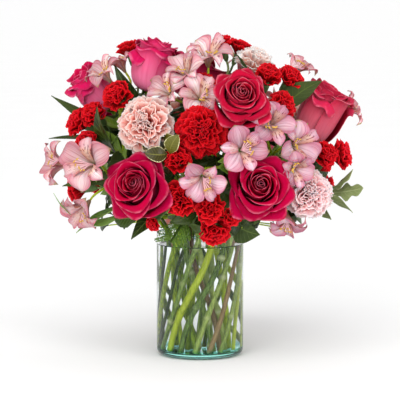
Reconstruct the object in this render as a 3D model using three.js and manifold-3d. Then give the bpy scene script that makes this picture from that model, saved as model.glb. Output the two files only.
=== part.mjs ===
// A mixed bouquet of roses, carnations, spray carnations and alstroemeria, with leaves,
// standing in a clear glass cylinder of water.
// Millimetres, +Z up, origin at the middle of the vase's underside, -Y towards the viewer.

import * as THREE from "three";
import { mergeVertices } from "three/addons/utils/BufferGeometryUtils.js";
import Module from "manifold-3d";

const wasm = await Module();
wasm.setup();

// ---------------------------------------------------------------------------------------
// Driving dimensions
// ---------------------------------------------------------------------------------------

const GAP = 0.3;
const MERGE = 1e-4;
const SIMPLIFY = 0.12;

const VASE = { radius: 51, height: 145, wall: 3, floor: 6, heel: 7, hollow: 6, sides: 32 };
const WATER_LEVEL = 130;

// The cut ends stand on the vase's floor; the stems are straight up to just above the rim.
const STEM_MOUTH = 147;
const WELL_DEPTH = 4;
// What a rounded corner keeps of its radius where its chamfer's middle corner lies.
const CHAMFER = 0.3;

// Stems stand in three rings. Each ring is turned between mouth and floor, the middle one
// the other way, so the stems cross one another without touching.
const RINGS = {
  inner: { radius: 11.5, turn: -78 },
  middle: { radius: 25, turn: 78 },
  outer: { radius: 39.5, turn: -78 },
};

const ROSE_STEM = 2.7;
const CARNATION_STEM = 2.3;
const SPRAY_STEM = 2.1;
const LILY_STEM = 2.5;
const GREEN_STEM = 2.0;
const BRANCH = 0.8;
const PEDICEL = 1.5;
const KNUCKLE = { radius: 2, reach: 2 };
const ROOT = 5;

// ---------------------------------------------------------------------------------------
// Where everything is. "at" is the middle of a bloom and "faces" where its heart looks;
// "mouth" is the ring and the bearing, in degrees from +X, at which its stem leaves the vase.
// A leaf springs from its stem at "from", a share of the stem's length above the mouth.
// A bloom that is "whole" is one piece with its stem.
// ---------------------------------------------------------------------------------------

const ROSES = [
  {
    at: [-52, -30, 340], faces: [0.22, -0.1, 0.97], radius: 31, depth: 56, mouth: ["inner", 205],
    leaves: [{ from: 0.74, tip: [-98, -46, 342], width: 20 }],
  },
  {
    at: [45, -121, 305], faces: [0.15, -0.85, 0.45], radius: 33, depth: 50, mouth: ["middle", 298],
    leaves: [],
  },
  {
    at: [139, -20, 284], faces: [0.46, -0.1, 0.88], radius: 33, depth: 62, mouth: ["middle", 5],
    leaves: [],
  },
  {
    at: [-68, -122, 208], faces: [-0.35, -0.9, 0.2], radius: 38, depth: 54, mouth: ["outer", 236],
    leaves: [{ from: 0.45, tip: [-78, -88, 146], width: 20 }],
  },
  {
    at: [66, -122, 206], faces: [0.1, -0.95, 0.25], radius: 38, depth: 54, mouth: ["outer", 294],
    leaves: [{ from: 0.3, tip: [68, -78, 150], width: 36 }],
  },
  {
    at: [-122, -10, 312], faces: [-0.6, -0.2, 0.75], radius: 29, depth: 50, mouth: ["middle", 185],
    leaves: [
      { from: 0.55, tip: [-171, -36, 306], width: 14 },
      { from: 0.5, tip: [-175, -26, 256], width: 14 },
    ],
  },
  {
    at: [-100, 65, 272], faces: [-0.55, 0.45, 0.7], radius: 37, depth: 54,
    mouth: ["middle", 145], leaves: [], whole: true,
  },
  {
    at: [80, 108, 222], faces: [0.5, 0.8, 0.3], radius: 37, depth: 54,
    mouth: ["outer", 50], leaves: [], whole: true,
  },
  {
    at: [-5, 58, 322], faces: [0.0, 0.4, 0.92], radius: 36, depth: 54,
    mouth: ["inner", 100], leaves: [], whole: true,
  },
];

const CARNATIONS = [
  {
    at: [-61, -108, 278], faces: [-0.25, -0.93, 0.25], radius: 32, depth: 38, colour: "pink",
    mouth: ["middle", 225], leaves: [],
  },
  {
    at: [2, -117, 271], faces: [0, -0.97, 0.2], radius: 31, depth: 38, colour: "red",
    mouth: ["middle", 262], leaves: [],
  },
  {
    at: [123, -88, 198], faces: [0.3, -0.92, 0.15], radius: 29, depth: 38, colour: "pink",
    mouth: ["outer", 316], leaves: [],
  },
  {
    at: [63, -25, 344], faces: [0.3, -0.2, 0.93], radius: 24, depth: 34, colour: "pink",
    mouth: ["inner", 335], leaves: [{ from: 0.85, tip: [42, -58, 354], width: 16 }],
  },
  {
    at: [-80, 108, 196], faces: [-0.55, 0.8, 0.2], radius: 30, depth: 38, colour: "red",
    mouth: ["outer", 120], leaves: [], whole: true,
  },
  {
    at: [-28, 112, 272], faces: [-0.2, 0.8, 0.55], radius: 30, depth: 38, colour: "pink",
    mouth: ["middle", 105], leaves: [], whole: true,
  },
  {
    at: [120, 40, 268], faces: [0.7, 0.3, 0.6], radius: 29, depth: 38, colour: "pink",
    mouth: ["outer", 22], leaves: [], whole: true,
  },
];

// Spray carnations: each stem branches to several heads, and each head holds a few small blooms.
const SPRAYS = [
  {
    mouth: ["outer", 168], fork: [-72, -8, 215],
    heads: [
      {
        hub: [-74, -16, 294],
        blooms: [
          { at: [-84, 14, 360], faces: [-0.3, 0.2, 0.95], radius: 15 },
          { at: [-94, -75, 309], faces: [-0.4, -0.8, 0.4], radius: 18 },
        ],
      },
      {
        hub: [-100, -34, 252],
        blooms: [
          { at: [-142, -45, 277], faces: [-0.8, -0.4, 0.4], radius: 17 },
          { at: [-129, -68, 252], faces: [-0.5, -0.8, 0.2], radius: 17 },
          { at: [-122, -60, 287], faces: [-0.5, -0.7, 0.5], radius: 16 },
        ],
      },
      {
        hub: [-100, 30, 206],
        blooms: [
          { at: [-142, 40, 226], faces: [-0.85, 0.3, 0.3], radius: 17 },
          { at: [-125, 70, 200], faces: [-0.7, 0.65, 0.1], radius: 16 },
          { at: [-148, 18, 192], faces: [-0.95, 0.1, -0.1], radius: 16 },
        ],
      },
    ],
    leaves: [],
  },
  {
    mouth: ["outer", 272], fork: [-2, -58, 172],
    heads: [
      {
        hub: [-18, -88, 192],
        blooms: [
          { at: [-22, -132, 196], faces: [-0.1, -0.98, 0.1], radius: 20 },
          { at: [-53, -112, 166], faces: [-0.5, -0.7, -0.4], radius: 9 },
          { at: [-25, -127, 240], faces: [-0.1, -0.9, 0.4], radius: 16 },
        ],
      },
      {
        hub: [14, -88, 176],
        blooms: [
          { at: [12, -134, 185], faces: [0.05, -0.98, 0.1], radius: 16 },
          { at: [17, -116, 157], faces: [0.1, -0.85, -0.4], radius: 18 },
          { at: [36, -128, 176], faces: [0.4, -0.9, 0], radius: 12 },
        ],
      },
    ],
    leaves: [],
  },
  {
    mouth: ["outer", 340], fork: [78, -24, 182],
    heads: [
      {
        hub: [82, -46, 288],
        blooms: [
          { at: [78, -72, 332], faces: [0.2, -0.6, 0.75], radius: 17 },
          { at: [103, -62, 330], faces: [0.4, -0.5, 0.75], radius: 16 },
          { at: [92, -90, 298], faces: [0.3, -0.85, 0.4], radius: 17 },
        ],
        leaves: [{ from: 0.92, tip: [137, -84, 325], width: 28 }],
      },
      {
        hub: [120, -36, 206],
        blooms: [
          { at: [165, -30, 238], faces: [0.9, -0.35, 0.15], radius: 18 },
          { at: [144, -54, 240], faces: [0.6, -0.75, 0.2], radius: 16 },
        ],
      },
      {
        hub: [104, 38, 206],
        blooms: [
          { at: [146, 52, 222], faces: [0.85, 0.4, 0.2], radius: 17 },
          { at: [128, 74, 186], faces: [0.75, 0.6, -0.1], radius: 16 },
          { at: [150, 22, 196], faces: [0.95, 0.1, 0], radius: 16 },
        ],
      },
    ],
    leaves: [],
  },
  {
    mouth: ["inner", 35], fork: [14, -6, 250],
    heads: [
      {
        hub: [22, -18, 312],
        blooms: [
          { at: [26, -12, 368], faces: [-0.2, -0.1, 0.97], radius: 14 },
          { at: [48, -2, 362], faces: [0.4, 0.1, 0.9], radius: 14 },
          { at: [4, -66, 322], faces: [-0.1, -0.8, 0.5], radius: 14 },
        ],
      },
    ],
    leaves: [],
  },
];

// Alstroemeria: each stem branches to heads of funnel flowers.
const LILIES = [
  {
    mouth: ["outer", 192], fork: [-72, -34, 190],
    heads: [
      {
        hub: [-100, -48, 206],
        blooms: [
          { at: [-124, -92, 232], faces: [-0.45, -0.85, 0.15], radius: 30 },
          { at: [-160, -45, 228], faces: [-0.9, -0.35, 0.1], radius: 26 },
          { at: [-132, -72, 180], faces: [-0.5, -0.6, -0.6], radius: 25 },
        ],
      },
      {
        hub: [-92, -26, 286],
        blooms: [
          { at: [-108, -44, 330], faces: [-0.5, -0.4, 0.7], radius: 22 },
          { at: [-90, -20, 340], faces: [-0.45, -0.1, 0.9], radius: 18 },
        ],
      },
    ],
    leaves: [
      { from: 0.9, tip: [-166, -82, 198], width: 15, arch: 0.3 },
      { from: 0.8, tip: [-142, -60, 150], width: 20 },
    ],
  },
  {
    mouth: ["inner", 270], fork: [-6, -30, 250],
    heads: [
      {
        hub: [-8, -46, 296],
        blooms: [
          { at: [10, -40, 350], faces: [0.05, -0.5, 0.85], radius: 26 },
          { at: [-16, -78, 334], faces: [-0.2, -0.7, 0.7], radius: 22 },
          { at: [-36, -88, 312], faces: [-0.4, -0.8, 0.4], radius: 22 },
          { at: [0, -97, 308], faces: [0, -0.9, 0.4], radius: 25 },
        ],
      },
    ],
    leaves: [],
  },
  {
    mouth: ["middle", 332], fork: [54, -38, 200],
    heads: [
      {
        hub: [28, -84, 228],
        blooms: [
          { at: [46, -138, 251], faces: [0.15, -0.95, 0.1], radius: 26 },
          { at: [3, -138, 219], faces: [0, -0.9, -0.3], radius: 25 },
        ],
        leaves: [{ from: 0.92, tip: [20, -136, 238], width: 14 }],
      },
      {
        hub: [82, -62, 240],
        blooms: [
          { at: [79, -112, 277], faces: [0.2, -0.9, 0.3], radius: 25 },
          { at: [108, -95, 254], faces: [0.5, -0.8, 0.1], radius: 25 },
          { at: [106, -106, 228], faces: [0.3, -0.9, -0.1], radius: 20 },
        ],
        leaves: [{ from: 0.92, tip: [121, -96, 278], width: 18 }],
      },
      {
        hub: [80, -54, 186],
        blooms: [{ at: [99, -86, 167], faces: [0.1, -0.5, -0.85], radius: 22 }],
      },
      {
        hub: [100, -4, 250],
        blooms: [
          { at: [112, -28, 336], faces: [0.5, -0.2, 0.75], radius: 20 },
          { at: [174, 12, 288], faces: [0.85, -0.1, 0.4], radius: 20 },
        ],
      },
    ],
    leaves: [],
  },
  {
    mouth: ["outer", 80], fork: [14, 68, 190],
    heads: [
      {
        hub: [0, 92, 184],
        blooms: [
          { at: [2, 132, 208], faces: [0, 0.95, 0.2], radius: 26 },
          { at: [-34, 120, 168], faces: [-0.2, 0.9, -0.3], radius: 25 },
          { at: [36, 124, 166], faces: [0.25, 0.9, -0.3], radius: 25 },
        ],
      },
      {
        hub: [44, 62, 258],
        blooms: [
          { at: [48, 98, 290], faces: [0.3, 0.7, 0.6], radius: 26 },
          { at: [90, 74, 284], faces: [0.6, 0.5, 0.6], radius: 25 },
          { at: [58, 50, 328], faces: [0.3, 0.3, 0.9], radius: 25 },
        ],
      },
    ],
    leaves: [],
  },
];

// Sprigs of greens: a stem from the vase's mouth to its end, with leaves or leaflets.
const GREENS = [
  {
    name: "pittosporum_sprig", finish: "variegated", mouth: ["middle", 243], route: [[-43, -98, 246]],
    leaves: [
      { from: 0.95, tip: [-62, -132, 250], width: 24, outline: "waved" },
      { from: 0.95, tip: [-30, -134, 266], width: 22, outline: "waved" },
      { from: 0.8, tip: [-38, -120, 232], width: 20, outline: "waved" },
      { from: 0.7, tip: [-66, -78, 250], width: 20, outline: "waved" },
    ],
  },
  {
    name: "ruscus_sprig_left", finish: "leaf", mouth: ["outer", 208], route: [[-90, -66, 240]],
    leaves: [
      { from: 0.95, tip: [-116, -86, 296], width: 24 },
      { from: 0.9, tip: [-100, -112, 236], width: 22 },
      { from: 0.75, tip: [-158, -50, 203], width: 16 },
      { from: 0.6, tip: [-118, -70, 208], width: 18 },
    ],
  },
  {
    name: "oak_leaf_sprig_right", finish: "leaf", mouth: ["outer", 2], route: [[146, -24, 198]],
    leaves: [
      { from: 0.9, tip: [188, -42, 200], width: 24, outline: "lobed" },
      { from: 0.85, tip: [176, -44, 222], width: 20, outline: "lobed" },
      { from: 0.85, tip: [176, -46, 172], width: 14 },
      { from: 0.7, tip: [150, -66, 166], width: 16 },
    ],
  },
  {
    name: "ruscus_sprig_back", finish: "leaf", mouth: ["outer", 100], route: [[-12, 96, 232]],
    leaves: [
      { from: 0.95, tip: [-62, 128, 236], width: 22 },
      { from: 0.95, tip: [40, 134, 246], width: 22 },
      { from: 0.9, tip: [-10, 142, 240], width: 20 },
      { from: 0.7, tip: [-64, 110, 158], width: 22 },
      { from: 0.7, tip: [76, 112, 168], width: 22 },
    ],
  },
  {
    name: "fern_frond", finish: "leaf", mouth: ["outer", 254], route: [[-18, -50, 160], [-34, -68, 140]],
    leaflets: { pairs: 6, length: 24, width: 5 },
  },
];

// ---------------------------------------------------------------------------------------
// Solids
// ---------------------------------------------------------------------------------------

const vector = (xyz) => new THREE.Vector3(...xyz);
const UP = new THREE.Vector3(0, 0, 1);

/** The closed body of a three.js geometry, its doubled points merged and its empty faces left out. */
function solidOf(geometry) {
  const bare = geometry.clone();
  bare.deleteAttribute("normal");
  bare.deleteAttribute("uv");
  const merged = mergeVertices(bare, MERGE);
  const corners = merged.index.array;
  const triangles = [];
  for (let t = 0; t < corners.length; t += 3) {
    const [a, b, c] = corners.slice(t, t + 3);
    if (a !== b && b !== c && c !== a) {
      triangles.push(a, b, c);
    }
  }
  return new wasm.Manifold(new wasm.Mesh({
    numProp: 3,
    vertProperties: new Float32Array(merged.attributes.position.array),
    triVerts: new Uint32Array(triangles),
  }));
}

/** A form of rings with as many sides each: `place` gives the point of a ring at a side. */
function ringForm(rings, sides, place) {
  const outline = rings.map(([radius, height]) => new THREE.Vector2(radius, height));
  const geometry = new THREE.LatheGeometry(outline, sides);
  const position = geometry.attributes.position;
  for (let v = 0; v < position.count; v += 1) {
    const point = place(v % rings.length, Math.floor(v / rings.length) % sides);
    position.setXYZ(v, point.x, point.y, point.z);
  }
  return solidOf(geometry);
}

/** A route of straight stretches between stations, for an extruded tube. */
class Route extends THREE.Curve {
  constructor(stations) {
    super();
    this.stations = stations;
  }

  getPoint(t) {
    const place = t * (this.stations.length - 1);
    const index = Math.min(Math.floor(place), this.stations.length - 2);
    return this.stations[index].clone().lerp(this.stations[index + 1], place - index);
  }

  getSpacedPoints() {
    return this.stations;
  }

  getTangentAt(u) {
    const last = this.stations.length - 1;
    const index = Math.round(u * last);
    const before = this.stations[Math.max(index - 1, 0)];
    const after = this.stations[Math.min(index + 1, last)];
    return after.clone().sub(before).normalize();
  }
}

/** A tube of few sides along the stations. */
function tube(stations, radius, sides) {
  const section = new THREE.Shape();
  for (let side = 0; side < sides; side += 1) {
    const angle = (2 * Math.PI * side) / sides;
    const point = [radius * Math.cos(angle), radius * Math.sin(angle)];
    if (side === 0) {
      section.moveTo(...point);
    } else {
      section.lineTo(...point);
    }
  }
  section.closePath();
  const options = { steps: stations.length - 1, extrudePath: new Route(stations), bevelEnabled: false };
  return solidOf(new THREE.ExtrudeGeometry(section, options));
}

// Outlines of a leaf: share of its length, and share of its half width there.
const LEAVES = {
  plain: [[0, 0], [0.12, 0.16], [0.45, 1], [0.78, 0.62], [1, 0]],
  waved: [[0, 0], [0.15, 0.2], [0.38, 1], [0.52, 0.84], [0.68, 1], [0.88, 0.5], [1, 0]],
  lobed: [[0, 0], [0.14, 0.12], [0.34, 0.8], [0.46, 0.4], [0.62, 1], [0.76, 0.5], [0.86, 0.6], [1, 0]],
  narrow: [[0, 0], [0.3, 0.8], [0.7, 1], [1, 0]],
};

/** A thin blade, bowed along its length and folded a little along its middle rib. */
function blade({ base, tip, normal, width, outline, thickness, arch, fold }) {
  const along = tip.clone().sub(base);
  return ringForm(outline, 4, (ring, side) => {
    const [t, share] = outline[ring];
    const point = base.clone().addScaledVector(along, t).addScaledVector(normal, 4 * arch * t * (1 - t));
    if (share === 0) {
      return point;
    }
    const tangent = along.clone().addScaledVector(normal, 4 * arch * (1 - 2 * t));
    const across = normal.clone().cross(tangent).normalize();
    const up = tangent.clone().cross(across).normalize();
    const half = (share * width) / 2;
    if (side % 2 === 0) {
      return point.addScaledVector(across, side === 0 ? half : -half).addScaledVector(up, fold * half);
    }
    return point.addScaledVector(up, ((side === 1 ? 1 : -1) * thickness) / 2);
  });
}

// ---------------------------------------------------------------------------------------
// Blooms: rings of radius and height, as shares of the bloom's, from its base to its heart
// ---------------------------------------------------------------------------------------

// The ring where a stem enters may have fewer corners than the rest: one for "neck" sides.
const NECK = 1;

const ROSE = {
  sides: 15,
  neck: 3,
  rings: [
    [0, 0], [0.3, 0.02], [0.78, 0.38], [1.02, 0.84], [0.8, 0.76], [0.76, 0.98],
    [0.52, 0.84], [0.48, 1], [0.3, 0.86], [0.24, 0.98], [0, 0.9],
  ],
  lips: [3, 5, 7, 9],
};

const CARNATION = {
  sides: 18,
  neck: 3,
  rings: [
    [0, 0], [0.4, 0.12], [0.98, 0.54], [0.72, 0.6], [0.88, 0.84], [0.56, 0.76], [0.6, 0.98],
    [0.32, 0.84], [0, 0.98],
  ],
  lips: [2, 4, 6],
};

const SPRAY_BLOOM = {
  sides: 9,
  neck: 3,
  rings: [
    [0, -0.9], [0.2, -0.78], [0.28, -0.12], [0.98, 0.36], [0.62, 0.44], [0.74, 0.84], [0, 0.72],
  ],
  lips: [3, 5],
};
const SPRAY_DEPTH = 1.25;
const SPRAY_CALYX = 1.65;

/** How far a rose's lip stands out and up at a side: five petals, each lapping over the next. */
function roseEdge(lip, side) {
  const step = (side + lip * 2) % 3;
  return [[0.88, -0.09], [1, 0], [1.04, 0.03]][step];
}

/** How far a carnation's lip stands out and up at a side: a ruffle, with a deep notch at times. */
function ruffleEdge(lip, side) {
  if ((side + lip) % 2 === 0) {
    return [1.03, 0.05];
  }
  return [(side + lip * 5) % 6 === 0 ? 0.82 : 0.9, -0.07];
}

/** The turn that takes +Z to the way a bloom faces. */
function turnTo(faces) {
  return new THREE.Quaternion().setFromUnitVectors(UP, vector(faces).normalize());
}

/** A bloom of ruffled or lapping rings round its own axis. */
function bloomSolid(kind, edge, { at, faces, radius, depth }) {
  const turn = turnTo(faces);
  return ringForm(kind.rings, kind.sides, (ring, side) => {
    const [share, height] = kind.rings[ring];
    const lip = kind.lips.indexOf(ring);
    const [out, lift] = lip < 0 ? [1, 0] : edge(lip, side);
    const whole = ring === NECK ? side - (side % kind.neck) : side;
    const angle = (2 * Math.PI * whole) / kind.sides;
    const r = share * out * radius;
    const z = (height + lift - 0.5) * depth;
    const point = new THREE.Vector3(r * Math.cos(angle), r * Math.sin(angle), z);
    return point.applyQuaternion(turn).add(vector(at));
  });
}

const rose = (row) => bloomSolid(ROSE, roseEdge, row);
const carnation = (row) => bloomSolid(CARNATION, ruffleEdge, row);

function sprayBloom(row) {
  return bloomSolid(SPRAY_BLOOM, ruffleEdge, { depth: row.radius * SPRAY_DEPTH, ...row });
}

// An alstroemeria flower's rings: its foot, a funnel, the petals' undersides, their edge and
// the throat. Each petal has four sides: the notch before it, a shoulder, its tip, a shoulder.
// "bearings" are in degrees from the petal's middle; sides that share one are one corner.
const LILY_SIDES = 24;
const LILY_RINGS = [
  { radius: [0, 0, 0, 0], height: [-0.55, -0.55, -0.55, -0.55], bearings: [0, 0, 0, 0] },
  { radius: [0.11, 0.11, 0.11, 0.11], height: [-0.42, -0.42, -0.42, -0.42], bearings: [0, 0, 0, 0] },
  { radius: [0.2, 0.3, 0.3, 0.3], height: [-0.12, -0.01, -0.01, -0.01], bearings: [-30, 0, 0, 0] },
  { radius: [0.3, 0.84, 1, 0.84], height: [0, 0.28, 0.32, 0.28], bearings: [-30, -23, 0, 23] },
  { radius: [0, 0, 0, 0], height: [-0.02, -0.02, -0.02, -0.02], bearings: [0, 0, 0, 0] },
];
const LILY_EDGE = 3;
const LILY_FUNNEL = 0.45;
const NARROW = { reach: 0.9, lift: 0.1, spread: 0.8 };

/** An alstroemeria flower: a funnel with six petals, three broad and three narrow between them. */
function lilyBloom({ at, faces, radius }) {
  const turn = turnTo(faces);
  const outline = LILY_RINGS.map((ring) => [ring.radius[0], ring.height[0]]);
  return ringForm(outline, LILY_SIDES, (ring, side) => {
    const petal = Math.floor(side / 4);
    const place = side % 4;
    const narrow = petal % 2 === 1 && ring === LILY_EDGE && place > 0;
    const spread = LILY_RINGS[ring].bearings[place] * (narrow ? NARROW.spread : 1);
    const share = LILY_RINGS[ring].radius[place] * (narrow ? NARROW.reach : 1);
    const height = LILY_RINGS[ring].height[place] + (narrow ? NARROW.lift : 0);
    const bearing = THREE.MathUtils.degToRad(60 * petal + spread);
    const point = new THREE.Vector3(share * Math.cos(bearing), share * Math.sin(bearing), height);
    return point.multiplyScalar(radius).applyQuaternion(turn).add(vector(at));
  });
}

// ---------------------------------------------------------------------------------------
// Stems
// ---------------------------------------------------------------------------------------

const STEM_SIDES = 5;
const PEDICEL_SIDES = 3;
const STEM_STEPS = 5;
const BRANCH_STEPS = 3;
const PEDICEL_STEPS = 2;
const NECK_LENGTH = 25;
const PEDICEL_LEAD = 0.3;
// How a branch leaves its fork: how far inside it starts, and where and how much it bulges.
const FORK_OVERLAP = 1;
const BRANCH_BEND = { share: 0.4, lift: 0.12 };

const LEAF = { thickness: 1.2, fold: 0.25, arch: 0.1 };
const LEAFLET = { thickness: 0.9, fold: 0.1, arch: 1.5, out: 0.8, on: 0.6 };
// A frond's pairs: the shares of its rib where they begin and end, and how they shorten.
const FROND = { start: 0.3, end: 0.98, longest: 0.4, taper: 0.7 };
const FROND_FACES = new THREE.Vector3(-0.25, -0.9, 0.35).normalize();
const HEART_HEIGHT = 190;

/** The point on a ring of stems at a height, for a bearing in degrees. */
function onRing(radius, degrees, height) {
  const bearing = THREE.MathUtils.degToRad(degrees);
  return new THREE.Vector3(radius * Math.cos(bearing), radius * Math.sin(bearing), height);
}

/** A smooth curve's stations from one point to another, through the points between. */
function curveStations(points, steps) {
  return new THREE.CatmullRomCurve3(points, false, "centripetal").getSpacedPoints(steps);
}

/** A stem's foot and the point where it leaves the vase: the foot's edge is a gap above the floor. */
function straightStretch([ring, degrees], stemRadius) {
  const { radius, turn } = RINGS[ring];
  const top = onRing(radius, degrees, STEM_MOUTH);
  const foot = onRing(radius, degrees + turn, VASE.floor + GAP);
  const lean = Math.hypot(top.x - foot.x, top.y - foot.y) / top.distanceTo(foot);
  foot.z += stemRadius * lean;
  return [foot, top];
}

/** A stem's stations: straight from the vase's floor to its mouth, then a curve through points. */
function stemStations(mouth, stemRadius, points, steps) {
  const [foot, top] = straightStretch(mouth, stemRadius);
  return [foot, ...curveStations([top, ...points], steps)];
}

/** A point part of the way along the stretch of a stem that is above the vase's mouth. */
function alongStem(stations, share) {
  const place = share * (stations.length - 2) + 1;
  const index = Math.min(Math.floor(place), stations.length - 2);
  return stations[index].clone().lerp(stations[index + 1], place - index);
}

/** The leaflets of a frond: pairs along the last part of its rib, pointing on and out. */
function leaflets(stations, { pairs, length, width }) {
  const blades = [];
  const { thickness, fold, arch, out, on } = LEAFLET;
  for (let pair = 0; pair < pairs; pair += 1) {
    const share = THREE.MathUtils.lerp(FROND.start, FROND.end, pair / pairs);
    const base = alongStem(stations, share);
    const along = alongStem(stations, 1).sub(base).normalize();
    const across = along.clone().cross(FROND_FACES).normalize();
    const size = length * (1 - FROND.taper * Math.abs(pair / pairs - FROND.longest));
    for (const hand of [-1, 1]) {
      const tip = base.clone().addScaledVector(along, size * on);
      tip.addScaledVector(across, hand * size * out);
      const outline = LEAVES.narrow;
      blades.push(blade({ base, tip, normal: FROND_FACES, width, outline, thickness, arch, fold }));
    }
  }
  return wasm.Manifold.union(blades);
}

/** A leaf from a stem to its tip, its upper face turned away from the bouquet's heart. */
function leafBlade(base, { tip, width, outline = "plain", arch = LEAF.arch }) {
  const end = vector(tip);
  const along = end.clone().sub(base);
  const outward = base.clone().lerp(end, 0.5).addScaledVector(UP, -HEART_HEIGHT);
  const unit = along.clone().normalize();
  const normal = outward.addScaledVector(unit, -outward.dot(unit)).normalize();
  return blade({
    base, tip: end, normal, width, outline: LEAVES[outline],
    thickness: LEAF.thickness, arch: arch * along.length(), fold: LEAF.fold,
  });
}

// ---------------------------------------------------------------------------------------
// Assembly. Each form is kept twice: at its true size, and swollen by the gap. What comes
// later is cut back by the swollen forms of what came before, as soft petals and leaves give
// way to stems and to heavier blooms.
// ---------------------------------------------------------------------------------------

const FINISHES = {
  glass: { color: 0xdfeeea, roughness: 0.05, metalness: 0, transparent: true, opacity: 0.35 },
  water: { color: 0xeaf4f2, roughness: 0.02, metalness: 0, transparent: true, opacity: 0.4 },
  rose: { color: 0xd8256f, roughness: 0.55, metalness: 0 },
  pink: { color: 0xf2c2c2, roughness: 0.7, metalness: 0 },
  red: { color: 0xc8101e, roughness: 0.65, metalness: 0 },
  lily: { color: 0xeab8c6, roughness: 0.5, metalness: 0 },
  stem: { color: 0x7d9a3a, roughness: 0.5, metalness: 0 },
  greyStem: { color: 0x7f9478, roughness: 0.6, metalness: 0 },
  leaf: { color: 0x3f5f2a, roughness: 0.45, metalness: 0 },
  variegated: { color: 0x6c7034, roughness: 0.4, metalness: 0 },
};

const forms = [];
const finishOf = new Map();
const wells = [];
const leafWork = [];

/** Whether two boxes lie clear of each other. */
function apart(one, other) {
  return one.min.some((low, axis) => low > other.max[axis] || other.min[axis] > one.max[axis]);
}

/** A form with the gap added: joined with its copies moved by the gap along each axis. */
function swell(solid) {
  const copies = [solid];
  for (const axis of [[1, 0, 0], [0, 1, 0], [0, 0, 1]]) {
    for (const way of [-GAP, GAP]) {
      copies.push(solid.translate(axis.map((share) => share * way)));
    }
  }
  return wasm.Manifold.union(copies);
}

/** Adds a form to a node, cut back where it presses on earlier forms of other nodes. */
function settle(name, finish, form) {
  const swollen = swell(form);
  const box = swollen.boundingBox();
  let solid = form;
  for (const other of forms) {
    if (other.name !== name && !apart(box, other.box)) {
      solid = solid.subtract(other.swollen);
    }
  }
  forms.push({ name, solid, swollen, box });
  finishOf.set(name, finishOf.get(name) ?? finish);
}

/** Settles a stem's tube and keeps its well, the plain hole in which it stands in the water. */
function settleStem(name, finish, stations, radius) {
  settle(name, finish, tube(stations, radius, STEM_SIDES));
  const [foot, top] = stations;
  const down = foot.clone().sub(top).normalize();
  const lower = foot.clone().addScaledVector(down, WELL_DEPTH);
  wells.push(tube([lower, top], radius + GAP, STEM_SIDES));
}

/** Notes a stem's leaves, which are settled after all the blooms. */
function noteLeaves(name, stations, leaves = []) {
  for (const leaf of leaves) {
    leafWork.push({ name, base: alongStem(stations, leaf.from), leaf });
  }
}

// The vase: a thick floor, a rounded heel, straight walls and a rounded rim.
const INSIDE = VASE.radius - VASE.wall;
const RIM = VASE.wall / 2;
const VASE_OUTLINE = [
  [0, 0], [VASE.radius - VASE.heel, 0], [VASE.radius - CHAMFER * VASE.heel, CHAMFER * VASE.heel],
  [VASE.radius, VASE.heel], [VASE.radius, VASE.height - RIM], [VASE.radius - RIM, VASE.height],
  [INSIDE, VASE.height - RIM], [INSIDE, VASE.floor + VASE.hollow],
  [INSIDE - CHAMFER * VASE.hollow, VASE.floor + CHAMFER * VASE.hollow],
  [INSIDE - VASE.hollow, VASE.floor], [0, VASE.floor],
];
const WATER_OUTLINE = [
  [0, VASE.floor + GAP], [INSIDE - VASE.hollow - GAP, VASE.floor + GAP],
  [INSIDE - CHAMFER * VASE.hollow - GAP, VASE.floor + CHAMFER * VASE.hollow + GAP],
  [INSIDE - GAP, VASE.floor + VASE.hollow + GAP], [INSIDE - GAP, WATER_LEVEL], [0, WATER_LEVEL],
];

/** A turned form with as many sides as the vase. */
function turned(outline) {
  return ringForm(outline, VASE.sides, (ring, side) => {
    const [radius, height] = outline[ring];
    const angle = (2 * Math.PI * side) / VASE.sides;
    return new THREE.Vector3(radius * Math.cos(angle), radius * Math.sin(angle), height);
  });
}

/** Settles the stem of a single bloom: up to its base, or into it where the two are one piece. */
function settleSingleStem(name, finish, row, radius) {
  const away = vector(row.faces).normalize();
  const end = vector(row.at).addScaledVector(away, -row.depth / 2 + (row.whole ? ROOT : -GAP));
  const lead = end.clone().addScaledVector(away, -NECK_LENGTH);
  const stations = stemStations(row.mouth, radius, [lead, end], STEM_STEPS);
  settleStem(name, finish, stations, radius);
  noteLeaves(name, stations, row.leaves);
}

/** Settles a branching stem: a trunk to its fork, and a branch from there to each head's hub. */
function settleBranching(name, row, radius) {
  const fork = vector(row.fork);
  const stations = stemStations(row.mouth, radius, [fork], BRANCH_STEPS);
  settleStem(name, "stem", stations, radius);
  noteLeaves(name, stations, row.leaves);
  const rising = fork.clone().sub(stations[stations.length - 2]).normalize();
  for (const head of row.heads) {
    const hub = vector(head.hub);
    const start = fork.clone().addScaledVector(rising, -FORK_OVERLAP);
    const bend = fork.clone().lerp(hub, BRANCH_BEND.share);
    bend.addScaledVector(rising, BRANCH_BEND.lift * fork.distanceTo(hub));
    head.approach = hub.clone().sub(bend).normalize();
    const stop = hub.clone().addScaledVector(head.approach, -KNUCKLE.reach - GAP);
    const branch = curveStations([start, bend, stop], BRANCH_STEPS);
    settle(name, "stem", tube(branch, radius * BRANCH, STEM_SIDES));
    noteLeaves(name, [fork, ...branch], head.leaves);
  }
}

/** Settles a head: a knuckle, a pedicel to each bloom, and the blooms, all one body. */
function settleHead(name, finish, head, bloom, back) {
  const hub = vector(head.hub);
  const ends = [-1, 1].map((way) => hub.clone().addScaledVector(head.approach, way * KNUCKLE.reach));
  const knuckle = tube(ends, KNUCKLE.radius, STEM_SIDES);
  const parts = head.blooms.flatMap((row) => {
    const away = vector(row.faces).normalize();
    const end = vector(row.at).addScaledVector(away, -back * row.radius);
    const lead = end.clone().addScaledVector(away, -PEDICEL_LEAD * end.distanceTo(hub));
    const stations = curveStations([hub, lead, end], PEDICEL_STEPS);
    return [tube(stations, PEDICEL, PEDICEL_SIDES), bloom(row)];
  });
  settle(name, finish, wasm.Manifold.union([knuckle, ...parts]));
}

settle("vase", "glass", turned(VASE_OUTLINE));

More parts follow.
